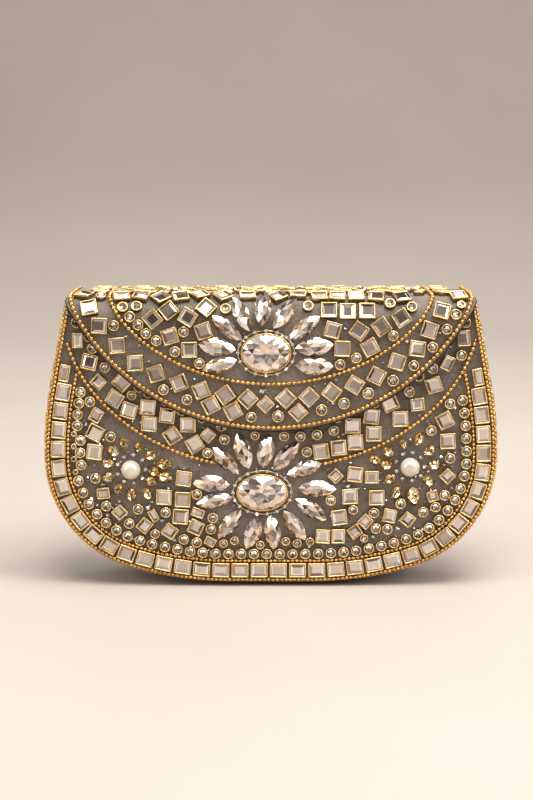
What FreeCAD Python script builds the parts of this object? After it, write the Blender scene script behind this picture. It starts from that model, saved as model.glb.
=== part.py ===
"""Mosaic evening bag: a hard metal shell with a hinged flap, a resin bed and set stones.

Millimetres.  +Z is up, the front faces -Y and +X is to the right of a person who
faces the front.  The origin is on the table, under the middle of the whole bag.  The
source is laid out about the middle plane of the body, and every node is moved back by
MIDDLE_SHIFT as it is written, because the flap makes the front deeper than the back.
"""
import FreeCAD, Part
import math
import os

# ---------------------------------------------------------------- driving dimensions
# Outline of the body: a flat base, a shallow arc, a corner arc, a side arc, a straight lean.
BASE_HALF = 18.8          # half of the flat stretch that the bag stands on
BASE_RADIUS = 155.2
BASE_SWEEP = 18.0         # degrees
CORNER_RADIUS = 55.0
SIDE_RADIUS = 173.2
SIDE_SWEEP = 11.0          # degrees, and the lean of the straight sides
BODY_TOP = 128.0          # top edge of the front panel and the lining
GUSSET_TOP = 130.5        # top edge of the gusset band
BACK_TOP = 130.5          # top edge of the back panel

# Layers, as depth in from the outline on the gusset, and as distance from the middle plane.
STONE_HEIGHT = 2.4        # a set stone above its bed
BED = 1.2                 # resin
SHEET = 0.8               # brass sheet
CLOTH = 0.4               # lining cloth
PANEL_INSET = 2.2         # edge of the front and back panels, in from the outline
HALF_DEPTH = 20.0         # inside face of the front and back sheets

GUSSET_BED_OUT = STONE_HEIGHT
GUSSET_SHEET_OUT = GUSSET_BED_OUT + BED
GUSSET_SHEET_IN = GUSSET_SHEET_OUT + SHEET
LINING_IN = GUSSET_SHEET_IN + CLOTH
PANEL_FACE = HALF_DEPTH + SHEET
BED_FACE = PANEL_FACE + BED

# Flap: a bent sheet, seen from the side as an inverted L with a round corner.
FLAP_HALF = 92.2
FLAP_CORNER_Y = -17.4
FLAP_CORNER_Z = 124.0
FLAP_LINING_R = 7.6
FLAP_SHEET_R = FLAP_LINING_R + CLOTH
FLAP_BED_R = FLAP_SHEET_R + SHEET
FLAP_FACE_R = FLAP_BED_R + BED
FLAP_REAR_Y = 18.3
FLAP_EDGE_RADIUS = 101.6  # front edge of the flap, a circle
FLAP_EDGE_CENTRE_Z = 175.1
FLAP_LOW_Z = 60.0         # below the lowest point of the edge

# Bead chains.
CHAIN_WIDTH = 1.5
CHAIN_HEIGHT = 1.5
SWAG_CHAIN_WIDTH = 1.9    # the larger beads on the swags and on the flap
OUTER_CHAIN_IN = 3.2      # centre lines, in from the outline
BORDER_ROW_IN = 7.7
INNER_CHAIN_IN = 12.1
INNER_CHAIN_TOP = 101.5
RIM_ROW_IN = 15.5
CLOSE_CHAIN = 0.85         # the rim row sits close, so it sees a slimmer chain
FLAP_CHAIN_IN = 1.9       # in from the flap's edge
SWAG_CENTRE_Z = 128.1
SWAG_HALF_WIDTH = 93.9
SWAG_DROP = 72.8
FLAP_SWAG_CENTRE_Z = 156.2
FLAP_SWAG_HALF_WIDTH = 78.6
FLAP_SWAG_DROP = 60.9

# Settings: a brass tray or cup with a bevelled mirror or a cut stone in it.
SQUARE = 7.3
ROUND = 5.0
TRAY_HEIGHT = 1.9
WALL = 0.45
TRAY_FLOOR = 0.4
STONE_GAP = 0.3           # least space between neighbouring stones
CHAIN_ROOM = 0.35         # added to a chain's width where stones keep clear of it
BORDER_LONG = 8.0
BORDER_WIDE = 6.8
BORDER_PITCH = 8.85
BORDER_TOP_WIDE = 4.8      # the top stones make room for the swag chains
BORDER_TOP_FROM = 96.0
BORDER_START = -0.95
RIM_PITCH = 5.9
RIM_START = 1.05
PETAL_LENGTH = 17.4
PETAL_HEIGHT = 3.0
OVAL_HEIGHT = 4.0
HALO_STONE = 2.4
PEARL = 8.8
MIDDLE_SHIFT = (OVAL_HEIGHT - FLAP_CORNER_Y + FLAP_FACE_R - BED_FACE - STONE_HEIGHT) / 2

# Hinge, snap and rivets.
HINGE_Y = 21.0
HINGE_Z = 133.0
KNUCKLE_RADIUS = 2.0
PIN_RADIUS = 0.8
PIN_CLEARANCE = 0.06
KNUCKLES = 14
KNUCKLE_PITCH = 12.0
KNUCKLE_GAP = 0.3
LEAF = 0.6
LEAF_LOW_Z = 117.0
LEAF_FRONT_Y = 6.0
RIVET_XS = [-70.0, -42.0, -14.0, 14.0, 42.0, 70.0]
RIVET_RADIUS = 0.9
RIVET_HEAD_RADIUS = 1.7
RIVET_HEAD = 0.7
BODY_RIVET_Z = 122.5
FLAP_RIVET_Y = 11.0
SNAP_Z = 97.0
SOCKET_RADIUS = 8.5
SOCKET_HEIGHT = 1.3
SOCKET_RECESS_RADIUS = 3.6
SOCKET_RECESS = 0.9
STUD_RADIUS = 7.5
STUD_HEIGHT = 1.4
STUD_NOSE_RADIUS = 2.2
STUD_NOSE = 0.65
POST_RADIUS = 1.5
WASHER_RADIUS = 9.0
WASHER = 0.8
STUD_WASHER_RADIUS = 5.0
STUD_WASHER = 0.5

# ---------------------------------------------------------------- the pattern, by hand
# Square mirrors as (across, up, turn, width, height); width and height are optional.
FRONT_SQUARES = [
    (-93.6, 103.2, 8, 3.4, 6.4), (-89.2, 110.2, 0, 5.0, 7.0), (-84.4, 99.4, -13),
    (-78.9, 91.2, 48, 6.0, 6.0), (-68.6, 90.2, -43), (-74.0, 84.5, -33),
    (-80.4, 76.4, -30, 5.5, 6.6), (-66.6, 77.8, -17), (-57.5, 80.0, -5),
    (-48.8, 74.5, -8), (-57.9, 70.8, -4), (-38.4, 71.2, 0), (-80.6, 68.4, -28), (-79.8, 58.2, -7),
    (-47.0, 65.6, 33), (-29.0, 67.2, -43, 5.8, 5.8), (-35.6, 62.6, 30), (-39.6, 47.7, -8),
    (-48.6, 39.2, -2), (-40.1, 38.1, -3), (-41.2, 30.3, -5), (-53.4, 30.8, 30, 3.8, 6.0),
    (-57.5, 26.3, -40, 6.0, 6.4), (-46.4, 23.6, -35, 6.4, 6.4), (-33.1, 32.1, -20, 6.0, 4.3),
    (-34.1, 25.4, -25, 6.8, 6.8), (-27.6, 18.9, -30, 5.2, 4.2), (-68.8, 32.3, 45, 5.8, 5.8),
    (-76.2, 41.0, 6, 6.0, 5.2),
    (88.9, 110.0, 5, 6.0, 7.4), (81.5, 100.3, -27, 5.2, 7.0), (74.1, 90.4, 18), (54.9, 80.3, 25),
    (66.7, 81.4, 8, 6.4, 6.0), (45.8, 75.4, -7), (58.5, 72.3, 2), (37.5, 69.0, 0), (47.5, 66.5, 0),
    (79.2, 74.2, 27), (80.5, 64.7, 3), (38.9, 61.7, 3), (31.0, 60.6, 5), (22.8, 59.9, 8),
    (29.4, 48.9, 45, 5.6, 5.6), (38.3, 49.6, -7), (46.0, 48.3, 0, 6.6, 6.0), (36.0, 39.5, 3),
    (48.1, 39.0, 0), (31.1, 30.0, 8), (23.1, 21.4, -3, 6.8, 6.8), (30.2, 21.4, 0, 6.4, 6.8),
    (37.9, 23.5, 35, 5.8, 5.8), (43.0, 28.0, -42, 5.8, 5.8), (54.0, 30.8, -12, 6.2, 6.6),
    (62.2, 29.1, -40, 6.0, 6.0), (73.7, 39.5, 18, 5.2, 5.2), (80.3, 48.8, 45, 5.8, 5.8),
]
# Squares hidden under the lower part of the flap.
UNDER_FLAP_SQUARES = [
    (-60.0, 97.5, 12, 6.4, 6.4), (-49.5, 90.5, -20, 6.4, 6.4), (-38.0, 85.5, 8, 6.4, 6.4),
    (-27.0, 80.5, -14, 6.4, 6.4), (27.0, 80.5, 15, 6.4, 6.4), (38.0, 85.0, -8, 6.4, 6.4),
    (49.5, 90.5, 22, 6.4, 6.4), (60.5, 97.5, -10, 6.4, 6.4), (-71.5, 106.0, 20, 6.4, 6.4),
    (72.0, 107.0, -20, 6.4, 6.4),
]
# Round stones as (across, up, diameter); the diameter is optional.
FRONT_ROUNDS = [
    (-83.7, 112.1), (-81.2, 106.6), (-75.5, 98.3), (-59.9, 89.1), (-63.4, 85.6, 4.6), (-55.8, 86.4, 4.4),
    (-72.9, 66.7), (-79.8, 47.9), (-60.4, 33.7), (-74.9, 35.2), (-64.4, 27.2), (-52.2, 22.5, 4.6),
    (-47.9, 32.3), (-39.6, 20.0), (-34.0, 18.5), (-26.4, 29.8), (-27.3, 24.7), (-33.6, 40.8),
    (-21.1, 65.6), (-28.2, 59.5), (-7.2, 67.4, 4.4), (-21.4, 18.3, 4.2), (-16.6, 19.4, 4.2),
    (-5.7, 18.2, 4.2), (6.8, 19.1, 4.2), (12.0, 18.3, 4.2), (17.6, 19.4, 4.0), (6.0, 67.0, 4.8),
    (13.4, 67.0), (20.9, 67.7), (28.5, 69.6), (16.3, 59.9), (-40.6, 78.6, 4.8), (-32.5, 75.2, 4.8),
    (-22.5, 71.6, 4.8), (30.0, 75.4, 4.8), (36.2, 75.6, 4.6), (47.2, 81.8, 4.8), (-48.0, 82.4, 4.8),
    (87.2, 102.1), (67.5, 94.0), (62.9, 87.3), (74.1, 97.9), (80.5, 82.2), (72.9, 69.6),
    (81.5, 57.0), (79.4, 40.0), (74.8, 35.0), (69.3, 32.5), (59.0, 36.3), (46.9, 32.1),
    (37.5, 33.6, 4.6), (27.1, 38.1), (47.7, 25.0), (53.0, 24.6), (42.3, 20.7, 4.0),
    (-83.3, 82.8), (-63.0, 104.0),
    (-54.0, 101.0), (54.5, 101.0), (63.5, 105.0), (-44.0, 96.5), (44.0, 96.5), (-88.5, 118.5),
    (88.5, 118.5), (-33.0, 91.0), (33.0, 91.0), (-20.0, 78.0), (19.0, 78.5),
]
# Small rounds wedged between the inner chain and the rim row.
WEDGED_ROUNDS = [(-89.6, 62.4, 2.8), (-89.5, 56.6, 2.8), (-88.8, 50.8, 2.8), (-89.6, 68.0, 2.8)]
FLAP_SQUARES = [
    (-83.4, 126.7, 12), (-79.4, 117.3, -3), (-70.1, 108.0, 4), (-61.8, 100.1, 2), (-52.3, 95.3, 17),
    (-53.0, 120.6, 40), (-45.5, 125.8, 38), (-38.5, 122.2, -32), (-28.9, 125.2, -40),
    (-32.1, 115.4, 18), (-45.9, 112.2, 17), (-36.3, 105.9, 1), (-41.7, 91.2, 22), (-31.7, 87.8, 22),
    (-20.7, 85.0, 35), (-11.0, 83.8, 45), (-27.8, 80.3, 28), (-17.7, 77.4, 27), (-2.5, 81.3, 45, 6.2, 6.2),
    (6.7, 84.1, 45), (17.3, 84.7, 45), (12.3, 77.7, 43, 6.8, 6.8), (27.6, 86.8, -38), (38.0, 90.2, -31),
    (48.0, 94.3, -27), (57.4, 100.6, -17), (66.6, 106.6, -7), (72.2, 115.0, -17), (76.6, 123.9, -15),
    (24.7, 124.0, 0), (35.5, 124.1, 0), (44.9, 124.0, 0), (28.0, 115.8, -15), (39.9, 115.3, -35),
    (50.0, 116.8, 35), (59.9, 120.9, 33), (32.8, 107.7, -2), (45.1, 107.2, 28),
]
FLAP_ROUNDS = [
    (-77.1, 129.3), (-68.4, 126.9), (-62.2, 127.3), (-64.8, 122.4), (-60.4, 118.4), (-56.6, 113.6),
    (-52.2, 110.2), (-71.6, 117.0), (-48.9, 88.0), (-39.7, 114.4), (-43.4, 105.3), (-33.7, 98.8),
    (-20.4, 125.0), (-38.2, 83.5), (-9.0, 75.6), (3.2, 76.0, 5.6), (23.0, 78.8, 5.4), (33.2, 81.8, 5.4),
    (44.2, 86.4, 5.4), (55.5, 92.2, 5.4), (65.0, 99.0), (73.8, 107.0), (80.1, 115.4), (84.5, 123.0),
    (16.5, 126.6), (31.3, 99.4), (38.1, 102.1), (55.6, 112.9), (54.7, 126.7), (63.6, 125.2),
    (86.0, 127.4, 4.0),
]
# First row over the bend, by distance across, with each stone's turn.
BEND_SQUARES = [
    (-84.5, -20), (-65.5, 8), (-57.0, -14), (-48.5, 40), (-39.5, 12), (-31.0, 35), (-21.5, 38),
    (-12.6, 4), (2.5, 35), (12.2, -6), (21.0, 5), (29.6, -4), (38.4, 2), (47.6, -8), (58.5, 14), (84.5, 10),
]
BEND_ROW = 10.8           # this row's place, as arc length past the start of the bend
# Rows on the flat top as (distance past the bend, pitch, turn in degrees).
TOP_ROWS = [(3.4, 9.6, 22), (12.2, 9.2, -18), (21.0, 9.6, 8), (29.8, 9.2, -4)]

# Crystal petals as (outer tip, inner tip, width).
FLAP_PETALS = [
    ((-32.9, 108.3), (-15.8, 105.5), 8.4), ((-31.4, 96.1), (-15.5, 100.6), 7.2),
    ((-27.4, 122.0), (-12.8, 109.9), 6.8), ((-17.6, 128.9), (-9.5, 114.0), 7.2),
    ((-3.0, 131.2), (-4.3, 115.1), 7.8), ((11.8, 128.6), (0.9, 115.1), 7.2),
    ((21.5, 122.0), (7.0, 111.0), 7.2), ((28.8, 108.3), (10.7, 106.6), 8.4),
    ((28.9, 98.5), (10.4, 99.2), 8.2),
]
FRONT_PETALS = [
    ((-26.7, 62.2), (-14.5, 49.3), 7.2), ((-15.3, 68.3), (-10.0, 52.1), 7.9),
    ((-1.0, 67.9), (-3.7, 52.4), 8.0), ((12.9, 64.5), (0.9, 51.1), 7.5),
    ((23.1, 54.7), (7.4, 49.5), 7.4), ((29.9, 42.7), (12.2, 43.3), 8.2),
    ((25.8, 28.5), (10.8, 38.7), 7.4), ((16.0, 19.2), (5.4, 33.5), 7.4),
    ((1.1, 15.6), (-0.5, 31.4), 7.9), ((-11.9, 17.1), (-6.0, 31.8), 7.8),
    ((-24.2, 20.8), (-13.7, 34.6), 7.4), ((-33.7, 35.8), (-16.9, 38.9), 7.4),
    ((-36.2, 45.4), (-18.2, 44.8), 8.2),
]
# Flower middles as (across, up, length, height) and halos as (half length, half height, stones).
FLAP_OVAL = (-2.2, 104.6, 21.4, 16.8)
FLAP_HALO = (12.7, 10.1, 16)
FRONT_OVAL = (-3.9, 41.3, 22.4, 16.0)
FRONT_HALO = (13.4, 10.1, 18)
PEARLS = [(-63.6, 52.0), (63.2, 53.2)]
PEARL_HALO = (6.6, 9)     # radius, stones
# Small gold petals round each pearl as (across, up, length, width).
SMALL_PETALS_LEFT = [
    (-71.9, 60.2, 6.5, 5.2), (-66.9, 63.9, 6.5, 4.6), (-60.1, 62, 5.1, 4.2), (-54.6, 58.2, 6.1, 5.0),
    (-48.7, 54.2, 7.3, 5.4), (-48.1, 48.1, 7.3, 5.4), (-54.6, 51.6, 5.3, 4.6), (-55.4, 46.4, 5.9, 4.8),
    (-56.3, 40.6, 6.9, 4.8), (-63.6, 40.2, 6.5, 4.8), (-69.5, 43, 6.3, 4.2), (-73.3, 48.4, 6.3, 5.0),
    (-73.9, 54.6, 6.3, 5.0),
]
SMALL_PETALS_RIGHT = [
    (53.5, 59.6, 6.1, 5.2), (60.3, 63.6, 5.3, 4.2), (67.3, 65.5, 7.1, 5.0), (72.4, 60.4, 6.5, 5.4),
    (74, 53.6, 6.5, 5.2), (71.6, 46.6, 6.3, 5.2), (65, 39.5, 9.5, 6.2), (57.1, 41.3, 7.3, 5.0),
    (54.3, 47.5, 6.1, 5.0), (52.6, 53.6, 6.1, 5.0), (47.4, 56.3, 6.3, 5.2),
]
BACK_CELL = 14.0          # grid of the plainer mosaic on the back
BACK_SQUARE = 8.6
BACK_ROUND = 6.0
GUSSET_PITCH = 8.6
GUSSET_COLUMNS = [-13.2, 13.2]
GUSSET_SQUARE = 6.9
GUSSET_ROUND_COLUMNS = [-5.4, 5.4]
GUSSET_CHAIN_Y = 19.1

Vector = FreeCAD.Vector


# ---------------------------------------------------------------- outline of the body
def outline_arcs(inset):
    """Right-hand arcs of the outline, moved in by inset: (centre x, centre z, radius, from, to)."""
    base_end = math.radians(-90.0 + BASE_SWEEP)
    c1 = (BASE_HALF, BASE_RADIUS)
    step = BASE_RADIUS - CORNER_RADIUS
    c2 = (c1[0] + step * math.cos(base_end), c1[1] + step * math.sin(base_end))
    c3 = (c2[0] + CORNER_RADIUS - SIDE_RADIUS, c2[1])
    return [
        (c1[0], c1[1], BASE_RADIUS - inset, -math.pi / 2, base_end),
        (c2[0], c2[1], CORNER_RADIUS - inset, base_end, 0.0),
        (c3[0], c3[1], SIDE_RADIUS - inset, 0.0, math.radians(SIDE_SWEEP)),
    ]


def on_arc(arc, angle):
    cx, cz, radius = arc[:3]
    return (cx + radius * math.cos(angle), cz + radius * math.sin(angle))


def outline_face(inset, top):
    """The body's outline as a face in the middle plane, moved in by inset and cut off at top."""
    arcs = outline_arcs(inset)
    lean = math.radians(SIDE_SWEEP)
    shoulder = on_arc(arcs[-1], arcs[-1][4])
    top_x = shoulder[0] - (top - shoulder[1]) * math.tan(lean)
    edges = []
    for side in (1, -1):
        points = []
        for arc in arcs:
            middle = 0.5 * (arc[3] + arc[4])
            points.append([on_arc(arc, a) for a in (arc[3], middle, arc[4])])
        for start, middle, end in points:
            spots = [Vector(side * p[0], 0, p[1]) for p in (start, middle, end)]
            edges.append(Part.Arc(*spots).toShape())
        low = Vector(side * shoulder[0], 0, shoulder[1])
        edges.append(Part.makeLine(low, Vector(side * top_x, 0, top)))
    edges.append(Part.makeLine(Vector(-BASE_HALF, 0, inset), Vector(BASE_HALF, 0, inset)))
    edges.append(Part.makeLine(Vector(-top_x, 0, top), Vector(top_x, 0, top)))
    return Part.Face(Part.Wire(Part.__sortEdges__(edges)))


def slab(face, low_y, high_y):
    """A face in the middle plane, thickened from low_y to high_y."""
    moved = face.copy()
    moved.translate(Vector(0, low_y, 0))
    return moved.extrude(Vector(0, high_y - low_y, 0))


def outline_band(inset, width, low_y, high_y, top):
    """A band of the given width that follows the outline, centred at inset."""
    outer = slab(outline_face(inset - width / 2, top), low_y, high_y)
    inner = slab(outline_face(inset + width / 2, top), low_y - 1, high_y + 1)
    return outer.cut(inner)


def walk(distance, inset):
    """Point and heading at a distance along the outline from the middle of the base."""
    side = 1 if distance >= 0 else -1
    left = abs(distance)
    if left <= BASE_HALF:
        return (side * left, inset), 0.0
    left -= BASE_HALF
    for arc in outline_arcs(inset):
        length = arc[2] * (arc[4] - arc[3])
        if left <= length:
            angle = arc[3] + left / arc[2]
            spot = on_arc(arc, angle)
            return (side * spot[0], spot[1]), side * (angle + math.pi / 2)
        left -= length
    lean = math.pi / 2 + math.radians(SIDE_SWEEP)
    spot = on_arc(arc, arc[4])
    reached = (spot[0] + left * math.cos(lean), spot[1] + left * math.sin(lean))
    return (side * reached[0], reached[1]), side * lean


def outline_steps(inset, pitch, start, top_left, top_right):
    """Points (x, z, heading) every pitch along the outline, up to a height on each side."""
    steps = []
    for side, top in ((1, top_right), (-1, top_left)):
        count = 0
        while True:
            distance = start + side * pitch * (count + 0.5)
            (x, z), heading = walk(distance, inset)
            if z > top:
                break
            steps.append((x, z, math.degrees(heading)))
            count += 1
    return steps


# ---------------------------------------------------------------- surfaces the stones sit on
def frame(origin, across, up):
    """Placement whose local X, Y and Z are across, up and the outward normal."""
    out = across.cross(up)
    rows = FreeCAD.Matrix(across.x, up.x, out.x, origin.x, across.y, up.y, out.y, origin.y,
                          across.z, up.z, out.z, origin.z, 0, 0, 0, 1)
    return FreeCAD.Placement(rows)


def on_front(u, v):
    return frame(Vector(u, -BED_FACE, v), Vector(1, 0, 0), Vector(0, 0, 1))


def on_back(u, v):
    return frame(Vector(-u, BED_FACE, v), Vector(-1, 0, 0), Vector(0, 0, 1))


def on_flap(u, v):
    """v is the height on the flat front, and goes on as arc length over the bend and the top."""
    past = v - FLAP_CORNER_Z
    quarter = FLAP_FACE_R * math.pi / 2
    if past <= 0:
        return frame(Vector(u, FLAP_CORNER_Y - FLAP_FACE_R, v), Vector(1, 0, 0), Vector(0, 0, 1))
    if past >= quarter:
        spot = Vector(u, FLAP_CORNER_Y + past - quarter, FLAP_CORNER_Z + FLAP_FACE_R)
        return frame(spot, Vector(1, 0, 0), Vector(0, 1, 0))
    turn = past / FLAP_FACE_R
    cos, sin = math.cos(turn), math.sin(turn)
    spot = Vector(u, FLAP_CORNER_Y - FLAP_FACE_R * cos, FLAP_CORNER_Z + FLAP_FACE_R * sin)
    return frame(spot, Vector(1, 0, 0), Vector(0, sin, cos))


def on_gusset(u, v):
    """u runs to the back and v is the distance along the outline."""
    (x, z), heading = walk(v, GUSSET_BED_OUT)
    return frame(Vector(x, u, z), Vector(0, 1, 0), Vector(math.cos(heading), 0, math.sin(heading)))


def flap_v(height):
    """Arc length up the flap for a height seen from the front."""
    past = (height - FLAP_CORNER_Z) / (FLAP_FACE_R + STONE_HEIGHT / 2)
    if past <= 0:
        return height
    return FLAP_CORNER_Z + FLAP_FACE_R * math.asin(min(past, 0.99))


# ---------------------------------------------------------------- from the pattern to the bag
def body_spot(x, z):
    """A point of the front pattern, set out on the body: a little taller, and wider low down."""
    return x * (1.0163 - 0.00023 * z), 1.57 + 1.0425 * z - 0.00018 * z * z


def flap_spot(x, z):
    """A point of the flap pattern, set out on the flap and taken over the bend."""
    return x * (1.008 - 0.00022 * z), flap_v(z + 4.8)


# ---------------------------------------------------------------- stones kept apart
def spun(points, degrees):
    a = math.radians(degrees)
    cos, sin = math.cos(a), math.sin(a)
    return [(x * cos - y * sin, x * sin + y * cos) for x, y in points]


def ring_points(half_length, half_height, count):
    turns = [2 * math.pi * k / count for k in range(count)]
    return [(half_length * math.cos(t), half_height * math.sin(t)) for t in turns]


def lens_points(length, width):
    half = length / 2
    upper = [(half * t, width / 2 * (1 - t * t)) for t in (-1, -0.6, -0.2, 0.2, 0.6, 1)]
    lower = [(x, -y) for x, y in reversed(upper[1:-1])]
    return upper + lower


def stone(kind, u, v, turn, length, width):
    """One stone of the pattern: its place, its size and its footprint."""
    if kind == "square":
        plan = [(-length / 2, -width / 2), (length / 2, -width / 2),
                (length / 2, width / 2), (-length / 2, width / 2)]
    elif kind == "lens":
        plan = lens_points(length, width)
    else:
        plan = ring_points(length / 2, width / 2, 12)
    return {"kind": kind, "u": u, "v": v, "turn": turn, "length": length, "width": width,
            "plan": spun(plan, turn), "reach": math.hypot(length, width) / 2}


def squares(rows, spot):
    made = []
    for row in rows:
        length, width = (row[3], row[4]) if len(row) > 3 else (SQUARE, SQUARE)
        u, v = spot(row[0], row[1])
        made.append(stone("square", u, v, row[2], length, width))
    return made


def rounds(rows, spot):
    made = []
    for row in rows:
        size = row[2] if len(row) > 2 else ROUND
        u, v = spot(row[0], row[1])
        made.append(stone("round", u, v, 0, size, size))
    return made


def petals(tips, spot):
    made = []
    for outer, inner, width in tips:
        far, near = spot(*outer), spot(*inner)
        run, rise = near[0] - far[0], near[1] - far[1]
        length = min(math.hypot(run, rise), PETAL_LENGTH)
        turn = math.degrees(math.atan2(rise, run))
        made.append(stone("lens", (far[0] + near[0]) / 2, (far[1] + near[1]) / 2, turn, length, width))
    return made


def small_petals(rows, pearl, spot):
    made = []
    for x, z, length, width in rows:
        turn = math.degrees(math.atan2(z - pearl[1], x - pearl[0]))
        u, v = spot(x, z)
        made.append(stone("lens", u, v, turn, length, width))
    return made


def halo(middle, half_length, half_height, count, spot):
    u, v = spot(middle[0], middle[1])
    ring = ring_points(half_length, half_height, count)
    return [stone("round", u + x, v + z, 0, HALO_STONE, HALO_STONE) for x, z in ring]


def middle_stone(row, spot):
    u, v = spot(row[0], row[1])
    return stone("oval", u, v, 0, row[2], row[3])


def clear_of(stones, others):
    """The stones that touch none of the others."""
    return [one for one in stones if not any(push(one, other) for other in others)]


def dots(points, width):
    """Footprints of a bead chain, as a row of rounds a little wider than the chain."""
    room = width + CHAIN_ROOM
    return [stone("round", x, z, 0, room, room) for x, z in points]


def push(a, b):
    """Shortest move that takes footprint a clear of footprint b, or None if they are clear."""
    du, dv = a["u"] - b["u"], a["v"] - b["v"]
    if math.hypot(du, dv) > a["reach"] + b["reach"] + STONE_GAP:
        return None
    first = [(x + du, y + dv) for x, y in a["plan"]]
    best = None
    for plan in (first, b["plan"]):
        for k in range(len(plan)):
            nx, ny = plan[k][1] - plan[k - 1][1], plan[k - 1][0] - plan[k][0]
            size = math.hypot(nx, ny)
            if size < 1e-9:
                continue
            nx, ny = nx / size, ny / size
            spans = [[x * nx + y * ny for x, y in one] for one in (first, b["plan"])]
            forward = max(spans[1]) - min(spans[0]) + STONE_GAP
            backward = max(spans[0]) - min(spans[1]) + STONE_GAP
            if forward <= 0 or backward <= 0:
                return None
            move = (forward, nx, ny) if forward < backward else (backward, -nx, -ny)
            if best is None or move[0] < best[0]:
                best = move
    return best


def settle(free, fixed, passes=150):
    """Nudges the free stones until none touches another, and drops any that can't be cleared."""
    for _ in range(passes):
        moved = False
        for i, a in enumerate(free):
            for b in fixed:
                move = push(a, b)
                if move:
                    a["u"] += 1.02 * move[0] * move[1]
                    a["v"] += 1.02 * move[0] * move[2]
                    moved = True
            for b in free[i + 1:]:
                move = push(a, b)
                if move:
                    for one, share in ((a, 0.51), (b, -0.51)):
                        one["u"] += share * move[0] * move[1]
                        one["v"] += share * move[0] * move[2]
                    moved = True
        if not moved:
            break
    kept = []
    for a in sorted(free, key=lambda s: -s["reach"]):
        moves = [push(a, b) for b in fixed + kept]
        if all(move is None or move[0] < STONE_GAP for move in moves):
            kept.append(a)
    if len(kept) < len(free):
        lost = [(one["kind"], round(one["u"], 1), round(one["v"], 1)) for one in free if one not in kept]
        print("left out for want of room:", lost)
    return kept


# ---------------------------------------------------------------- solids for the stones
def flat_loop(points, height):
    """A closed loop of straight edges at a height in local coordinates."""
    return Part.makePolygon([Vector(x, y, height) for x, y in points + points[:1]])


def rect_points(length, width, inset=0.0):
    a, b = length / 2 - inset, width / 2 - inset
    return [(-a, -b), (a, -b), (a, b), (-a, b)]


def square_tray(length, width):
    outer = Part.Face(flat_loop(rect_points(length, width), 0)).extrude(Vector(0, 0, TRAY_HEIGHT))
    well = Part.Face(flat_loop(rect_points(length, width, WALL), TRAY_FLOOR))
    return outer.cut(well.extrude(Vector(0, 0, TRAY_HEIGHT)))


def square_glass(length, width):
    """A bevelled mirror that fills the tray."""
    edge = flat_loop(rect_points(length, width, WALL), TRAY_HEIGHT - 0.5)
    crown = flat_loop(rect_points(length, width, WALL + 1.1), STONE_HEIGHT)
    bevel = Part.makeLoft([edge, crown], True, True)
    base = Part.Face(flat_loop(rect_points(length, width, WALL), TRAY_FLOOR))
    return base.extrude(Vector(0, 0, TRAY_HEIGHT - 0.5 - TRAY_FLOOR)).fuse(bevel).removeSplitter()


def round_cup(size, _):
    outer = Part.makeCylinder(size / 2, TRAY_HEIGHT)
    return outer.cut(Part.makeCylinder(size / 2 - WALL, TRAY_HEIGHT, Vector(0, 0, TRAY_FLOOR)))


def round_glass(size, _):
    radius = size / 2 - WALL
    skirt = Part.makeCylinder(radius, TRAY_HEIGHT - 0.4 - TRAY_FLOOR, Vector(0, 0, TRAY_FLOOR))
    crown = Part.makeCone(radius, radius * 0.55, 0.9, Vector(0, 0, TRAY_HEIGHT - 0.4))
    return skirt.fuse(crown)


def lens_crystal(length, width):
    """A pointed crystal, a navette, with a cut crown."""
    height = min(PETAL_HEIGHT, 0.62 * width)
    loops = []
    for share, level in ((1.0, 0.0), (1.0, 0.35 * height), (0.45, height)):
        a, b = share * length / 2, share * width / 2
        upper = Part.Arc(Vector(-a, 0, level), Vector(0, b, level), Vector(a, 0, level))
        lower = Part.Arc(Vector(a, 0, level), Vector(0, -b, level), Vector(-a, 0, level))
        loops.append(Part.Wire([upper.toShape(), lower.toShape()]))
    base = Part.Face(loops[0]).extrude(Vector(0, 0, 0.35 * height))
    crown = Part.makeLoft(loops[1:], True, True)
    return base.fuse(crown)


def oval_crystal(length, width):
    """The oval middle stone of a flower, with a girdle, a cut crown and a flat table."""
    loops = []
    for share, level in ((1.0, 0.0), (1.0, 1.6), (0.55, OVAL_HEIGHT)):
        major = Vector(share * length / 2, 0, level)
        minor = Vector(0, share * width / 2, level)
        loops.append(Part.Wire([Part.Ellipse(major, minor, Vector(0, 0, level)).toShape()]))
    base = Part.Face(loops[0]).extrude(Vector(0, 0, 1.6))
    crown = Part.makeLoft(loops[1:], True, True)
    return base.fuse(crown)


def chaton(size, _):
    """A small round stone with a cut crown, in a thin cup."""
    cup = Part.makeCylinder(size / 2, 1.1)
    return cup.fuse(Part.makeCone(size / 2, size * 0.28, 0.7, Vector(0, 0, 1.1)))


def half_pearl(size, _):
    """A pearl with a flat ground at its back."""
    ball = Part.makeSphere(size / 2, Vector(0, 0, size * 0.32))
    return ball.common(Part.makeBox(size, size, size, Vector(-size / 2, -size / 2, 0)))


def place(stones, maker, surface):
    """One solid per stone, built flat by maker and set on the surface."""
    solids = []
    for one in stones:
        solid = maker(one["length"], one["width"])
        solid.rotate(Vector(0, 0, 0), Vector(0, 0, 1), one["turn"])
        solid.transformShape(surface(one["u"], one["v"]).toMatrix())
        solids.append(solid)
    return solids


def of_kind(stones, kind):
    return [one for one in stones if one["kind"] == kind]


# ---------------------------------------------------------------- writing the nodes
def write(name, solids):
    """Writes one node; a list becomes a group of separate solids."""
    group = solids if isinstance(solids, list) else [solids]
    single = []
    for shape in group:
        single.extend(shape.Solids)
    shape = single[0].copy() if len(single) == 1 else Part.makeCompound(single)
    shape.translate(Vector(0, MIDDLE_SHIFT, 0))
    shape.exportStep("parts/" + name + ".step")
    print("%-26s %4d solids  %9.1f mm3" % (name, len(single), sum(s.Volume for s in single)))


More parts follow.
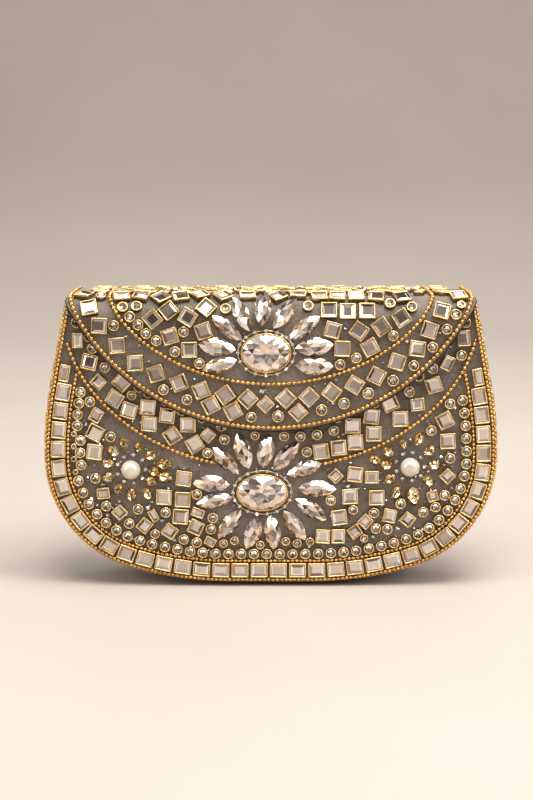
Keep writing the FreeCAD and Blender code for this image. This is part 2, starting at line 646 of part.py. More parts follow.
def cylinder_y(radius, low_y, high_y, x, z):
    return Part.makeCylinder(radius, high_y - low_y, Vector(x, low_y, z), Vector(0, 1, 0))


def cylinder_z(radius, low_z, high_z, x, y):
    return Part.makeCylinder(radius, high_z - low_z, Vector(x, y, low_z), Vector(0, 0, 1))


def box(low, high):
    size = [h - l for l, h in zip(low, high)]
    return Part.makeBox(size[0], size[1], size[2], Vector(*low))


def cut_all(shape, tools):
    for tool in tools:
        shape = shape.cut(tool)
    return shape


# ---------------------------------------------------------------- shell of the body
def body_rivet_holes(low_y, high_y):
    return [cylinder_y(RIVET_RADIUS, low_y, high_y, x, BODY_RIVET_Z) for x in RIVET_XS]


def make_body_shell():
    post = cylinder_y(POST_RADIUS, -BED_FACE - 1, -HALF_DEPTH + 5, 0, SNAP_Z)
    front = slab(outline_face(PANEL_INSET, BODY_TOP), -PANEL_FACE, -HALF_DEPTH)
    write("front_panel", front.cut(post))
    back = slab(outline_face(PANEL_INSET, BACK_TOP), HALF_DEPTH, PANEL_FACE)
    write("back_panel", cut_all(back, body_rivet_holes(HALF_DEPTH - 1, PANEL_FACE + 1)))
    band = slab(outline_face(GUSSET_SHEET_OUT, GUSSET_TOP), -HALF_DEPTH, HALF_DEPTH)
    hollow = slab(outline_face(GUSSET_SHEET_IN, GUSSET_TOP), -HALF_DEPTH - 1, HALF_DEPTH + 1)
    write("gusset_band", band.cut(hollow))
    front_bed = slab(outline_face(PANEL_INSET, BODY_TOP), -BED_FACE, -PANEL_FACE)
    write("front_resin_bed", front_bed.cut(post))
    write("back_resin_bed", slab(outline_face(PANEL_INSET, BACK_TOP), PANEL_FACE, BED_FACE))
    skin = slab(outline_face(GUSSET_BED_OUT, GUSSET_TOP), -HALF_DEPTH, HALF_DEPTH)
    inside = slab(outline_face(GUSSET_SHEET_OUT, GUSSET_TOP), -HALF_DEPTH - 1, HALF_DEPTH + 1)
    write("gusset_resin_bed", skin.cut(inside))
    cloth = slab(outline_face(GUSSET_SHEET_IN, BODY_TOP), -HALF_DEPTH, HALF_DEPTH)
    room = slab(outline_face(LINING_IN, BODY_TOP + 1), -HALF_DEPTH + CLOTH, HALF_DEPTH - CLOTH)
    cloth = cloth.cut(room).cut(post)
    write("lining", cut_all(cloth, body_rivet_holes(HALF_DEPTH - CLOTH - 1, HALF_DEPTH + 1)))


# ---------------------------------------------------------------- bead chains
def ellipse_band(centre_z, half_width, drop, width, low_y, high_y):
    """A band of the given width along an ellipse in the front view."""
    parts = []
    for grow in (width / 2, -width / 2):
        major = Vector(half_width + grow, 0, centre_z)
        minor = Vector(0, 0, centre_z + drop + grow)
        curve = Part.Ellipse(major, minor, Vector(0, 0, centre_z)).toShape()
        parts.append(slab(Part.Face(Part.Wire([curve])), low_y, high_y))
    return parts[0].cut(parts[1])


def ellipse_points(centre_z, half_width, drop, pitch=2.0):
    steps = int(math.pi * (half_width + drop) / 2 / pitch)
    turns = [math.pi + math.pi * k / steps for k in range(steps + 1)]
    return [(half_width * math.cos(t), centre_z + drop * math.sin(t)) for t in turns]


def outline_dots(inset, top, width):
    spots = outline_steps(inset, 2.0, 0.0, top, top)
    return dots([(x, z) for x, z, _ in spots], width)


def make_front_chains():
    face = -BED_FACE - CHAIN_HEIGHT
    outer = outline_band(OUTER_CHAIN_IN, CHAIN_WIDTH, face, -BED_FACE, BODY_TOP)
    inner = outline_band(INNER_CHAIN_IN, CHAIN_WIDTH, face, -BED_FACE, INNER_CHAIN_TOP)
    swag = ellipse_band(SWAG_CENTRE_Z, SWAG_HALF_WIDTH, SWAG_DROP, SWAG_CHAIN_WIDTH, face, -BED_FACE)
    left = swag.common(box((-100, face, 40), (-25.5, 0, 124.0)))
    right = swag.common(box((23.5, face, 40), (100, 0, 124.0)))
    room = slab(outline_face(OUTER_CHAIN_IN + CHAIN_WIDTH / 2 + 0.2, BODY_TOP), face - 1, 0)
    swags = [half.common(room) for half in (left, right)]
    write("front_border_chains", [outer, cut_all(inner, swags)])
    write("front_swag_chains", swags)
    ring = []
    for side in (-1, 1):
        near = side * GUSSET_CHAIN_Y
        band = outline_band(GUSSET_BED_OUT - CHAIN_HEIGHT / 2, CHAIN_HEIGHT,
                            near - CHAIN_WIDTH / 2, near + CHAIN_WIDTH / 2, GUSSET_TOP)
        ring.append(band)
    write("gusset_edge_chains", ring)
    write("back_chains", [
        outline_band(OUTER_CHAIN_IN, CHAIN_WIDTH, BED_FACE, BED_FACE + CHAIN_HEIGHT, BACK_TOP - 3),
        outline_band(INNER_CHAIN_IN, CHAIN_WIDTH, BED_FACE, BED_FACE + CHAIN_HEIGHT, BACK_TOP - 3),
    ])


# ---------------------------------------------------------------- stones of the body
def border_stones(top_left, top_right, narrow_from=BACK_TOP):
    made = []
    for x, z, turn in outline_steps(BORDER_ROW_IN, BORDER_PITCH, BORDER_START, top_left, top_right):
        width = BORDER_TOP_WIDE if z > narrow_from else BORDER_WIDE
        x += math.copysign((BORDER_WIDE - width) / 2, x)
        made.append(stone("square", x, z, turn, BORDER_LONG, width))
    return made


def make_front_stones():
    border = border_stones(101.0, 102.5, BORDER_TOP_FROM)
    rim = [stone("round", x, z, 0, ROUND, ROUND)
           for x, z, _ in outline_steps(RIM_ROW_IN, RIM_PITCH, RIM_START, 91.9, 91.9)]
    chains = outline_dots(OUTER_CHAIN_IN, BODY_TOP, CHAIN_WIDTH)
    chains += outline_dots(INNER_CHAIN_IN, INNER_CHAIN_TOP, CHAIN_WIDTH)
    wedged = settle(rounds(WEDGED_ROUNDS, body_spot), chains)
    close_chain = outline_dots(INNER_CHAIN_IN, INNER_CHAIN_TOP, CLOSE_CHAIN)
    rim = settle(rim, wedged + close_chain) + wedged
    main_petals = petals(FRONT_PETALS, body_spot)
    oval = middle_stone(FRONT_OVAL, body_spot)
    halo_stones = halo(FRONT_OVAL, *FRONT_HALO, body_spot)
    pearls = rounds([(x, z, PEARL) for x, z in PEARLS], body_spot)
    for pearl in PEARLS:
        halo_stones += halo(pearl, PEARL_HALO[0], PEARL_HALO[0], PEARL_HALO[1], body_spot)
    leaf_rows = ((SMALL_PETALS_LEFT, PEARLS[0]), (SMALL_PETALS_RIGHT, PEARLS[1]))
    leaves = []
    for rows, pearl in leaf_rows:
        leaves += small_petals(rows, pearl, body_spot)
    swag = ellipse_points(SWAG_CENTRE_Z, SWAG_HALF_WIDTH, SWAG_DROP)
    swag_dots = dots([p for p in swag if p[0] < -25 or p[0] > 23], SWAG_CHAIN_WIDTH)
    chains += swag_dots
    border = clear_of(border, swag_dots)
    snap = stone("round", 0, SNAP_Z, 0, 2 * SOCKET_RADIUS, 2 * SOCKET_RADIUS)
    set_stones = border + rim + [oval] + halo_stones + pearls + chains + [snap]
    main_petals = settle(main_petals, [oval] + halo_stones + rim)
    leaves = settle(leaves, set_stones + main_petals)
    free = squares(FRONT_SQUARES + UNDER_FLAP_SQUARES, body_spot) + rounds(FRONT_ROUNDS, body_spot)
    field = settle(free, set_stones + main_petals + leaves)
    write("front_border_settings", place(border, square_tray, on_front))
    write("front_border_mirrors", place(border, square_glass, on_front))
    write("front_square_settings", place(of_kind(field, "square"), square_tray, on_front))
    write("front_square_mirrors", place(of_kind(field, "square"), square_glass, on_front))
    dots_and_rim = of_kind(field, "round") + rim
    write("front_round_cups", place(dots_and_rim, round_cup, on_front))
    write("front_round_stones", place(dots_and_rim, round_glass, on_front))
    write("front_flower_petals", place(main_petals, lens_crystal, on_front))
    write("front_flower_oval", place([oval], oval_crystal, on_front))
    write("front_halo_stones", place(halo_stones, chaton, on_front))
    write("side_flower_petals", place(leaves, lens_crystal, on_front))
    write("side_flower_pearls", place(pearls, half_pearl, on_front))


def make_gusset_stones():
    trays = []
    base = []
    cups = []
    side_count = len(outline_steps(GUSSET_BED_OUT, GUSSET_PITCH, 0.0, GUSSET_TOP - 5, 0.0))
    for k in range(-side_count, side_count):
        along = GUSSET_PITCH * (k + 0.5)
        for y in GUSSET_COLUMNS:
            one = stone("square", y, along, 0, GUSSET_SQUARE, GUSSET_SQUARE)
            flat = abs(along) + GUSSET_SQUARE / 2 < BASE_HALF
            (base if flat else trays).append(one)
        for y in GUSSET_ROUND_COLUMNS:
            cups.append(stone("round", y, along, 0, ROUND, ROUND))
    write("gusset_square_settings", place(trays, square_tray, on_gusset))
    write("gusset_square_mirrors", place(trays, square_glass, on_gusset))
    write("gusset_round_cups", place(cups, round_cup, on_gusset))
    write("gusset_round_stones", place(cups, round_glass, on_gusset))
    write("base_settings", place(base, square_tray, on_gusset))
    write("base_mirrors", place(base, square_glass, on_gusset))


def make_back_stones():
    border = border_stones(BACK_TOP - 6, BACK_TOP - 6)
    chains = outline_dots(INNER_CHAIN_IN, BACK_TOP - 3, CHAIN_WIDTH)
    room = outline_face(INNER_CHAIN_IN + CHAIN_WIDTH / 2, BACK_TOP - 1)
    free = []
    columns = range(-7, 8)
    for row in range(1, 9):
        for column in columns:
            u, v = column * BACK_CELL, 7.4 + row * BACK_CELL
            for kind, size, shift in (("square", BACK_SQUARE, 0), ("round", BACK_ROUND, BACK_CELL / 2)):
                reach = size / 2 + 0.8
                corners = [Vector(u + shift + a * reach, 0, v + shift + b * reach)
                           for a in (-1, 1) for b in (-1, 1)]
                if all(room.isInside(spot, 0.01, True) for spot in corners):
                    turn = 45 if (row + column) % 2 else 0
                    free.append(stone(kind, u + shift, v + shift, turn, size, size))
    field = settle(free, chains, 40)
    write("back_border_settings", place(border, square_tray, on_back))
    write("back_border_mirrors", place(border, square_glass, on_back))
    write("back_square_settings", place(of_kind(field, "square"), square_tray, on_back))
    write("back_square_mirrors", place(of_kind(field, "square"), square_glass, on_back))
    write("back_round_cups", place(of_kind(field, "round"), round_cup, on_back))
    write("back_round_stones", place(of_kind(field, "round"), round_glass, on_back))


# ---------------------------------------------------------------- flap
def flap_profile(inner_r, outer_r):
    """The flap's side view between two radii, run across the bag."""
    def path(radius):
        front_y = FLAP_CORNER_Y - radius
        top_z = FLAP_CORNER_Z + radius
        half = radius * math.sqrt(0.5)
        return [Vector(0, front_y, FLAP_LOW_Z), Vector(0, front_y, FLAP_CORNER_Z),
                Vector(0, FLAP_CORNER_Y - half, FLAP_CORNER_Z + half),
                Vector(0, FLAP_CORNER_Y, top_z), Vector(0, FLAP_REAR_Y, top_z)]
    inner, outer = path(inner_r), path(outer_r)
    edges = []
    for line in (inner, outer):
        edges.append(Part.makeLine(line[0], line[1]))
        edges.append(Part.Arc(line[1], line[2], line[3]).toShape())
        edges.append(Part.makeLine(line[3], line[4]))
    edges.append(Part.makeLine(inner[0], outer[0]))
    edges.append(Part.makeLine(inner[4], outer[4]))
    face = Part.Face(Part.Wire(Part.__sortEdges__(edges)))
    face.translate(Vector(-FLAP_HALF - 5, 0, 0))
    return face.extrude(Vector(2 * FLAP_HALF + 10, 0, 0))


def flap_outline(inset):
    """The flap as seen from the front: straight sides and a round lower edge."""
    radius = FLAP_EDGE_RADIUS - inset
    half = FLAP_HALF - inset
    corner_z = FLAP_EDGE_CENTRE_Z - math.sqrt(radius * radius - half * half)
    low = Vector(0, 0, FLAP_EDGE_CENTRE_Z - radius)
    left, right = Vector(-half, 0, corner_z), Vector(half, 0, corner_z)
    top_left, top_right = Vector(-half, 0, BACK_TOP + 20), Vector(half, 0, BACK_TOP + 20)
    edges = [Part.Arc(left, low, right).toShape(), Part.makeLine(right, top_right),
             Part.makeLine(top_right, top_left), Part.makeLine(top_left, left)]
    return slab(Part.Face(Part.Wire(edges)), FLAP_CORNER_Y - 20, FLAP_REAR_Y)


def flap_rivet_holes(low_z, high_z):
    return [cylinder_z(RIVET_RADIUS, low_z, high_z, x, FLAP_RIVET_Y) for x in RIVET_XS]


def make_flap_shell():
    whole = flap_outline(0.0)
    lining = flap_profile(FLAP_LINING_R, FLAP_SHEET_R).common(whole)
    sheet = flap_profile(FLAP_SHEET_R, FLAP_BED_R).common(whole)
    bed = flap_profile(FLAP_BED_R, FLAP_FACE_R).common(whole)
    sheet_y = FLAP_CORNER_Y - FLAP_BED_R
    post = cylinder_y(POST_RADIUS, sheet_y - STUD_WASHER, FLAP_CORNER_Y, 0, SNAP_Z)
    pocket = cylinder_y(STUD_WASHER_RADIUS, sheet_y - STUD_WASHER, sheet_y, 0, SNAP_Z)
    holes = flap_rivet_holes(FLAP_CORNER_Z, FLAP_CORNER_Z + FLAP_BED_R)
    write("flap_lining", cut_all(lining, holes + [post]))
    write("flap_shell", cut_all(sheet, holes + [post]))
    write("flap_resin_bed", bed.cut(pocket))
    edge = flap_outline(FLAP_CHAIN_IN - SWAG_CHAIN_WIDTH / 2)
    edge = edge.cut(flap_outline(FLAP_CHAIN_IN + SWAG_CHAIN_WIDTH / 2))
    layer = flap_profile(FLAP_FACE_R, FLAP_FACE_R + CHAIN_HEIGHT)
    write("flap_edge_chain", layer.common(edge))
    join_z = FLAP_CORNER_Z + 0.9 * FLAP_FACE_R
    join_x = flap_swag_join(join_z)
    low_y, high_y = FLAP_CORNER_Y - 20, FLAP_REAR_Y
    swag = ellipse_band(FLAP_SWAG_CENTRE_Z, FLAP_SWAG_HALF_WIDTH, FLAP_SWAG_DROP,
                        SWAG_CHAIN_WIDTH, low_y, high_y)
    swag = swag.common(box((-FLAP_HALF, low_y, FLAP_LOW_Z), (FLAP_HALF, high_y, join_z)))
    half = SWAG_CHAIN_WIDTH / 2
    for side in (-1, 1):
        x = side * join_x
        swag = swag.fuse(box((x - half, low_y, join_z - 0.2), (x + half, high_y, BACK_TOP + 20)))
    write("flap_swag_chain", layer.common(swag))


def flap_swag_join(height):
    """Half width of the flap's inner swag at a height."""
    rise = (FLAP_SWAG_CENTRE_Z - height) / FLAP_SWAG_DROP
    return FLAP_SWAG_HALF_WIDTH * math.sqrt(1 - rise * rise)


def flap_chain_dots():
    points = []
    rear = FLAP_CORNER_Z + FLAP_FACE_R * math.pi / 2 + FLAP_REAR_Y - FLAP_CORNER_Y
    join_z = FLAP_CORNER_Z + 0.9 * FLAP_FACE_R
    for x, z in ellipse_points(FLAP_SWAG_CENTRE_Z, FLAP_SWAG_HALF_WIDTH, FLAP_SWAG_DROP):
        if z < join_z:
            points.append((x, flap_v(z)))
    radius = FLAP_EDGE_RADIUS - FLAP_CHAIN_IN
    for x, z in ellipse_points(FLAP_EDGE_CENTRE_Z, radius, radius):
        if z < join_z:
            points.append((x, flap_v(z)))
    v = flap_v(join_z)
    while v < rear:
        for x in (flap_swag_join(join_z), FLAP_HALF - FLAP_CHAIN_IN):
            points += [(-x, v), (x, v)]
        v += 2.0
    return dots(points, SWAG_CHAIN_WIDTH)


def top_stones():
    """Rows on the flap's flat top: squares with a round between each two."""
    start = FLAP_CORNER_Z + FLAP_FACE_R * math.pi / 2
    made = []
    for along, pitch, turn in TOP_ROWS:
        count = int(FLAP_HALF / pitch)
        for k in range(-count, count + 1):
            u = k * pitch + (pitch / 2 if turn < 0 else 0)
            if abs(u) > FLAP_HALF - FLAP_CHAIN_IN - 4:
                continue
            if k % 3 == 1:
                made.append(stone("round", u, start + along, 0, ROUND, ROUND))
            else:
                made.append(stone("square", u, start + along, turn * (-1) ** k, SQUARE, SQUARE))
    return made


def make_flap_stones():
    oval = middle_stone(FLAP_OVAL, flap_spot)
    halo_stones = halo(FLAP_OVAL, *FLAP_HALO, flap_spot)
    main_petals = petals(FLAP_PETALS, flap_spot)
    chains = flap_chain_dots()
    main_petals = settle(main_petals, [oval] + halo_stones + chains)
    rear = FLAP_CORNER_Z + FLAP_FACE_R * math.pi / 2 + FLAP_REAR_Y - FLAP_CORNER_Y
    rear_edge = dots([(2.0 * k, rear + 0.6) for k in range(-46, 47)], 1.0)
    bend = [stone("square", x, FLAP_CORNER_Z + BEND_ROW, turn, SQUARE, SQUARE) for x, turn in BEND_SQUARES]
    free = squares(FLAP_SQUARES, flap_spot) + rounds(FLAP_ROUNDS, flap_spot) + bend + top_stones()
    field = settle(free, [oval] + halo_stones + main_petals + chains + rear_edge)
    field = [one for one in field if one["v"] + one["reach"] * 0.8 < rear]
    write("flap_square_settings", place(of_kind(field, "square"), square_tray, on_flap))
    write("flap_square_mirrors", place(of_kind(field, "square"), square_glass, on_flap))
    write("flap_round_cups", place(of_kind(field, "round"), round_cup, on_flap))
    write("flap_round_stones", place(of_kind(field, "round"), round_glass, on_flap))
    write("flap_flower_petals", place(main_petals, lens_crystal, on_flap))
    write("flap_flower_oval", place([oval], oval_crystal, on_flap))
    write("flap_halo_stones", place(halo_stones, chaton, on_flap))


# ---------------------------------------------------------------- hinge, rivets and snap
def knuckle(index):
    start = -KNUCKLES * KNUCKLE_PITCH / 2 + index * KNUCKLE_PITCH + KNUCKLE_GAP / 2
    return start, start + KNUCKLE_PITCH - KNUCKLE_GAP


def hinge_leaf(plate, tongue, odd):
    """A leaf's plate, its tongues and its share of the knuckles, bored for the pin."""
    leaf = plate
    for index in range(odd, KNUCKLES, 2):
        low, high = knuckle(index)
        barrel = Part.makeCylinder(KNUCKLE_RADIUS, high - low, Vector(low, HINGE_Y, HINGE_Z), Vector(1, 0, 0))
        leaf = leaf.fuse(tongue(low, high)).fuse(barrel)
    bore = Part.makeCylinder(PIN_RADIUS + PIN_CLEARANCE, 200, Vector(-100, HINGE_Y, HINGE_Z), Vector(1, 0, 0))
    return leaf.cut(bore).removeSplitter()


def make_hinge():
    half = KNUCKLES * KNUCKLE_PITCH / 2 - KNUCKLE_GAP / 2
    leaf_y = HALF_DEPTH - CLOTH
    body_plate = box((-half, leaf_y - LEAF, LEAF_LOW_Z), (half, leaf_y, BACK_TOP))

    def body_tongue(low, high):
        return box((low, leaf_y - LEAF, BACK_TOP - 1), (high, leaf_y, HINGE_Z))

    leaf = hinge_leaf(body_plate, body_tongue, 0)
    write("hinge_leaf_body", cut_all(leaf, body_rivet_holes(leaf_y - 3, leaf_y + 1)))
    leaf_z = FLAP_CORNER_Z + FLAP_LINING_R
    flap_plate = box((-half, LEAF_FRONT_Y, leaf_z - LEAF), (half, FLAP_REAR_Y, leaf_z))

    def flap_tongue(low, high):
        return box((low, FLAP_REAR_Y - 1, leaf_z - LEAF), (high, HINGE_Y, leaf_z))

    leaf = hinge_leaf(flap_plate, flap_tongue, 1)
    write("hinge_leaf_flap", cut_all(leaf, flap_rivet_holes(leaf_z - 3, leaf_z + 1)))
    length = 2 * half + 0.6
    start = Vector(-length / 2, HINGE_Y, HINGE_Z)
    pin = Part.makeCylinder(PIN_RADIUS, length, start, Vector(1, 0, 0))
    for x, way in ((-length / 2, -1), (length / 2, 1)):
        pin = pin.fuse(Part.makeCylinder(1.5, 0.7, Vector(x, HINGE_Y, HINGE_Z), Vector(way, 0, 0)))
    write("hinge_pin", pin)
    rivets = []
    for x in RIVET_XS:
        shank = cylinder_y(RIVET_RADIUS, leaf_y - LEAF, PANEL_FACE, x, BODY_RIVET_Z)
        head = cylinder_y(RIVET_HEAD_RADIUS, leaf_y - LEAF - RIVET_HEAD, leaf_y - LEAF, x, BODY_RIVET_Z)
        rivets.append(shank.fuse(head))
    write("hinge_rivets_body", rivets)
    rivets = []
    for x in RIVET_XS:
        shank = cylinder_z(RIVET_RADIUS, leaf_z - LEAF, FLAP_CORNER_Z + FLAP_BED_R, x, FLAP_RIVET_Y)
        head = cylinder_z(RIVET_HEAD_RADIUS, leaf_z - LEAF - RIVET_HEAD, leaf_z - LEAF, x, FLAP_RIVET_Y)
        rivets.append(shank.fuse(head))
    write("hinge_rivets_flap", rivets)


def make_snap():
    socket = cylinder_y(SOCKET_RADIUS, -BED_FACE - SOCKET_HEIGHT, -BED_FACE, 0, SNAP_Z)
    recess = cylinder_y(SOCKET_RECESS_RADIUS, -BED_FACE - SOCKET_HEIGHT,
                        -BED_FACE - SOCKET_HEIGHT + SOCKET_RECESS, 0, SNAP_Z)
    inner_y = -HALF_DEPTH + CLOTH
    post = cylinder_y(POST_RADIUS, -BED_FACE, inner_y + WASHER, 0, SNAP_Z)
    write("snap_socket", socket.cut(recess).fuse(post))
    washer = cylinder_y(WASHER_RADIUS, inner_y, inner_y + WASHER, 0, SNAP_Z)
    write("snap_socket_washer", washer.cut(post))
    back_y = FLAP_CORNER_Y - FLAP_LINING_R
    sheet_y = FLAP_CORNER_Y - FLAP_BED_R
    disc = cylinder_y(STUD_RADIUS, back_y, back_y + STUD_HEIGHT, 0, SNAP_Z)
    nose = cylinder_y(STUD_NOSE_RADIUS, back_y, back_y + STUD_HEIGHT + STUD_NOSE, 0, SNAP_Z)
    stud_post = cylinder_y(POST_RADIUS, sheet_y - STUD_WASHER, back_y, 0, SNAP_Z)
    write("snap_stud", disc.fuse(nose).fuse(stud_post))
    ring = cylinder_y(STUD_WASHER_RADIUS, sheet_y - STUD_WASHER, sheet_y, 0, SNAP_Z)
    write("snap_stud_washer", ring.cut(stud_post))


os.makedirs("parts", exist_ok=True)
make_body_shell()
make_front_chains()
make_front_stones()
make_gusset_stones()
make_back_stones()
make_flap_shell()
make_flap_stones()
make_hinge()
make_snap()
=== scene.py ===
import math
import random

import bpy
import numpy as np
from mathutils import Matrix, Vector


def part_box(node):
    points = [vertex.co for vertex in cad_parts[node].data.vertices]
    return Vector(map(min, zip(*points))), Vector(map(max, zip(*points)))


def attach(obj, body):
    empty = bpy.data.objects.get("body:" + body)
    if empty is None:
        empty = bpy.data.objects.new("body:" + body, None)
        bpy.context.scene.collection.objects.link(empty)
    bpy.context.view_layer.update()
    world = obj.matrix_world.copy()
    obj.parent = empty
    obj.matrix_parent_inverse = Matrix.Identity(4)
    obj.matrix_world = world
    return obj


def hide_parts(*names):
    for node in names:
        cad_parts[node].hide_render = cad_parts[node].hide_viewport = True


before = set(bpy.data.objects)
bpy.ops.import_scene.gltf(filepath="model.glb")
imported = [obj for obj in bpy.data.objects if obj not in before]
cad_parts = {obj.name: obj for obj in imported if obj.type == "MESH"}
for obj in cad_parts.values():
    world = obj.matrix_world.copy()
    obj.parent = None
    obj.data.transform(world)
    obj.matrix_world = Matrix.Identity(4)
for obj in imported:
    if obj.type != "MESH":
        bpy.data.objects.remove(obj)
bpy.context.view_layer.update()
MM = 0.001

FRONT_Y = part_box("front_resin_bed")[0].y / MM
BACK_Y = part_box("back_resin_bed")[1].y / MM
MIDDLE_Y = (FRONT_Y + BACK_Y) / 2


# ---------------------------------------------------------------- reading the stones' seats from the frame
def welded(node):
    """Corner points in millimetres and triangles of a CAD node, with doubled corners merged."""
    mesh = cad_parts[node].data
    mesh.calc_loop_triangles()
    points = np.empty(len(mesh.vertices) * 3)
    mesh.vertices.foreach_get("co", points)
    points = points.reshape(-1, 3) / MM
    corners = np.empty(len(mesh.loop_triangles) * 3, dtype=np.int64)
    mesh.loop_triangles.foreach_get("vertices", corners)
    keys = np.round(points * 200).astype(np.int64)
    _, first, merged = np.unique(keys, axis=0, return_index=True, return_inverse=True)
    return points[first], merged.reshape(-1)[corners].reshape(-1, 3)


def islands(node):
    """The separate solids of a node, each as (points, triangles)."""
    points, triangles = welded(node)
    leader = list(range(len(points)))

    def find(i):
        while leader[i] != i:
            leader[i] = leader[leader[i]]
            i = leader[i]
        return i

    for a, b, c in triangles.tolist():
        ra, rb, rc = find(a), find(b), find(c)
        leader[rb] = ra
        leader[rc] = ra
    groups = {}
    for row in triangles.tolist():
        groups.setdefault(find(row[0]), []).append(row)
    return [(points, np.array(rows)) for rows in groups.values()]


def seats_of(node, kind, sunk=0.0):
    """Where each stone of a node sits: origin on the bed, axes (columns across, up, out), length, width."""
    seats = []
    for points, rows in islands(node):
        a, b, c = points[rows[:, 0]], points[rows[:, 1]], points[rows[:, 2]]
        cross = np.cross(b - a, c - a)
        area = np.linalg.norm(cross, axis=1)
        keep = area > 1e-9
        rows, cross, area = rows[keep], cross[keep], area[keep]
        a, b, c = a[keep], b[keep], c[keep]
        unit = cross / area[:, None]
        sides = {}
        for k, key in enumerate(map(tuple, np.round(unit * 25).astype(int))):
            sides.setdefault(key, []).append(k)
        base = max(sides.values(), key=lambda ks: area[ks].sum())
        out = -(unit[base] * area[base, None]).sum(axis=0)
        out /= np.linalg.norm(out)
        middle = ((a + b + c)[base] / 3 * area[base, None]).sum(axis=0) / area[base].sum()
        rim = points[np.unique(rows[base])] - middle
        reach = np.linalg.norm(rim, axis=1)
        far = rim[reach.argmax()]
        if kind == "square":
            line = far / np.linalg.norm(far)
            off = np.linalg.norm(rim - np.outer(rim @ line, line), axis=1)
            other = rim[off.argmax()]
            across, along = other - far, other + far
            if np.linalg.norm(across) < np.linalg.norm(along):
                across, along = along, across
            length, width = np.linalg.norm(across), np.linalg.norm(along)
            across = across / length
        elif kind == "round":
            across = np.cross((0, 0, 1), out) if abs(out[2]) < 0.9 else np.array([1.0, 0, 0])
            across = across / np.linalg.norm(across)
            length = width = 2 * reach.max()
        else:
            across = far / np.linalg.norm(far)
            up = np.cross(out, across)
            length, width = 2 * reach.max(), 2 * np.abs(rim @ up).max()
        up = np.cross(out, across)
        up /= np.linalg.norm(up)
        across = np.cross(up, out)
        if up[2] < -0.01:
            across, up = -across, -up
        axes = np.column_stack([across, up, out])
        seats.append({"at": middle - out * sunk, "axes": axes, "length": length, "width": width})
    seats.sort(key=lambda s: tuple(np.round(s["at"][[2, 0, 1]], 1)))
    return seats


# ---------------------------------------------------------------- gathering geometry
class Soup:
    """Geometry of one piece, gathered in millimetres and made into one mesh at the end."""

    def __init__(self):
        self.points, self.faces, self.tones, self.smooth = [], [], [], []
        self.count = 0

    def add(self, points, faces, tones, smooth=False, at=(0, 0, 0), axes=None):
        local = np.asarray(points, dtype=float)
        if axes is not None:
            local = local @ np.asarray(axes).T
        self.points.append(local + np.asarray(at))
        self.faces += [tuple(i + self.count for i in face) for face in faces]
        self.tones += [tones] * len(faces) if isinstance(tones, tuple) else list(tones)
        self.smooth += [smooth] * len(faces)
        self.count += len(local)

    def mesh(self, name):
        mesh = bpy.data.meshes.new(name)
        mesh.from_pydata((np.vstack(self.points) * MM).tolist(), [], self.faces)
        mesh.polygons.foreach_set("use_smooth", self.smooth)
        layer = mesh.color_attributes.new("tone", "FLOAT_COLOR", "CORNER")
        values = []
        for face, tone in zip(self.faces, self.tones):
            values += [tone[0], tone[1], tone[2], 1.0] * len(face)
        layer.data.foreach_set("color", values)
        mesh.validate()
        return mesh


def piece(name, soup, material, body, nodes=()):
    """One object from gathered geometry, riding on a body and standing for its CAD nodes."""
    obj = bpy.data.objects.new(name, soup.mesh(name))
    bpy.context.scene.collection.objects.link(obj)
    obj.data.materials.append(material)
    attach(obj, body)
    if nodes:
        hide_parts(*nodes)
    return obj


def skin(loops, low=True, high=True, ring=False):
    """Points and faces of a surface through loops of equal count."""
    count = len(loops[0])
    points = [p for loop in loops for p in loop]
    faces = []
    spans = len(loops) if ring else len(loops) - 1
    for i in range(spans):
        j = (i + 1) % len(loops)
        for k in range(count):
            m = (k + 1) % count
            faces.append((i * count + k, i * count + m, j * count + m, j * count + k))
    if low and not ring:
        faces.append(tuple(reversed(range(count))))
    if high and not ring:
        faces.append(tuple(range((len(loops) - 1) * count, len(loops) * count)))
    return points, faces


def round_rect(half_a, half_b, radius, z, steps=3):
    loop = []
    for k, (sx, sy) in enumerate(((1, 1), (-1, 1), (-1, -1), (1, -1))):
        for s in range(steps + 1):
            t = math.pi / 2 * (k + s / steps)
            loop.append((sx * (half_a - radius) + radius * math.cos(t),
                         sy * (half_b - radius) + radius * math.sin(t), z))
    return loop


def rect(half_a, half_b, z):
    return [(half_a, half_b, z), (-half_a, half_b, z), (-half_a, -half_b, z), (half_a, -half_b, z)]


def circle(radius, z, count, start=0.0):
    turns = [start + 2 * math.pi * k / count for k in range(count)]
    return [(radius * math.cos(t), radius * math.sin(t), z) for t in turns]


def tilted(axes, rng, degrees):
    """Axes turned a little about a random line in the bed's plane."""
    turn = math.radians(rng.gauss(0, degrees))
    way = rng.uniform(0, 2 * math.pi)
    line = Vector(axes[:, 0]) * math.cos(way) + Vector(axes[:, 1]) * math.sin(way)
    return np.array(Matrix.Rotation(turn, 3, line)) @ axes


def shade(color, factor):
    return tuple(min(1.0, c * factor) for c in color)


def mix(a, b, t):
    return tuple(x + (y - x) * t for x, y in zip(a, b))


# ---------------------------------------------------------------- stones
WALL = 0.45               # how far a setting stands out past its stone
LIP = 0.74                # width of a setting's rim, which folds in over the edge of its stone
OVERLAP = 0.05            # how far a stone goes in under that rim
SUNK = 0.4                # how far a setting stands in the resin
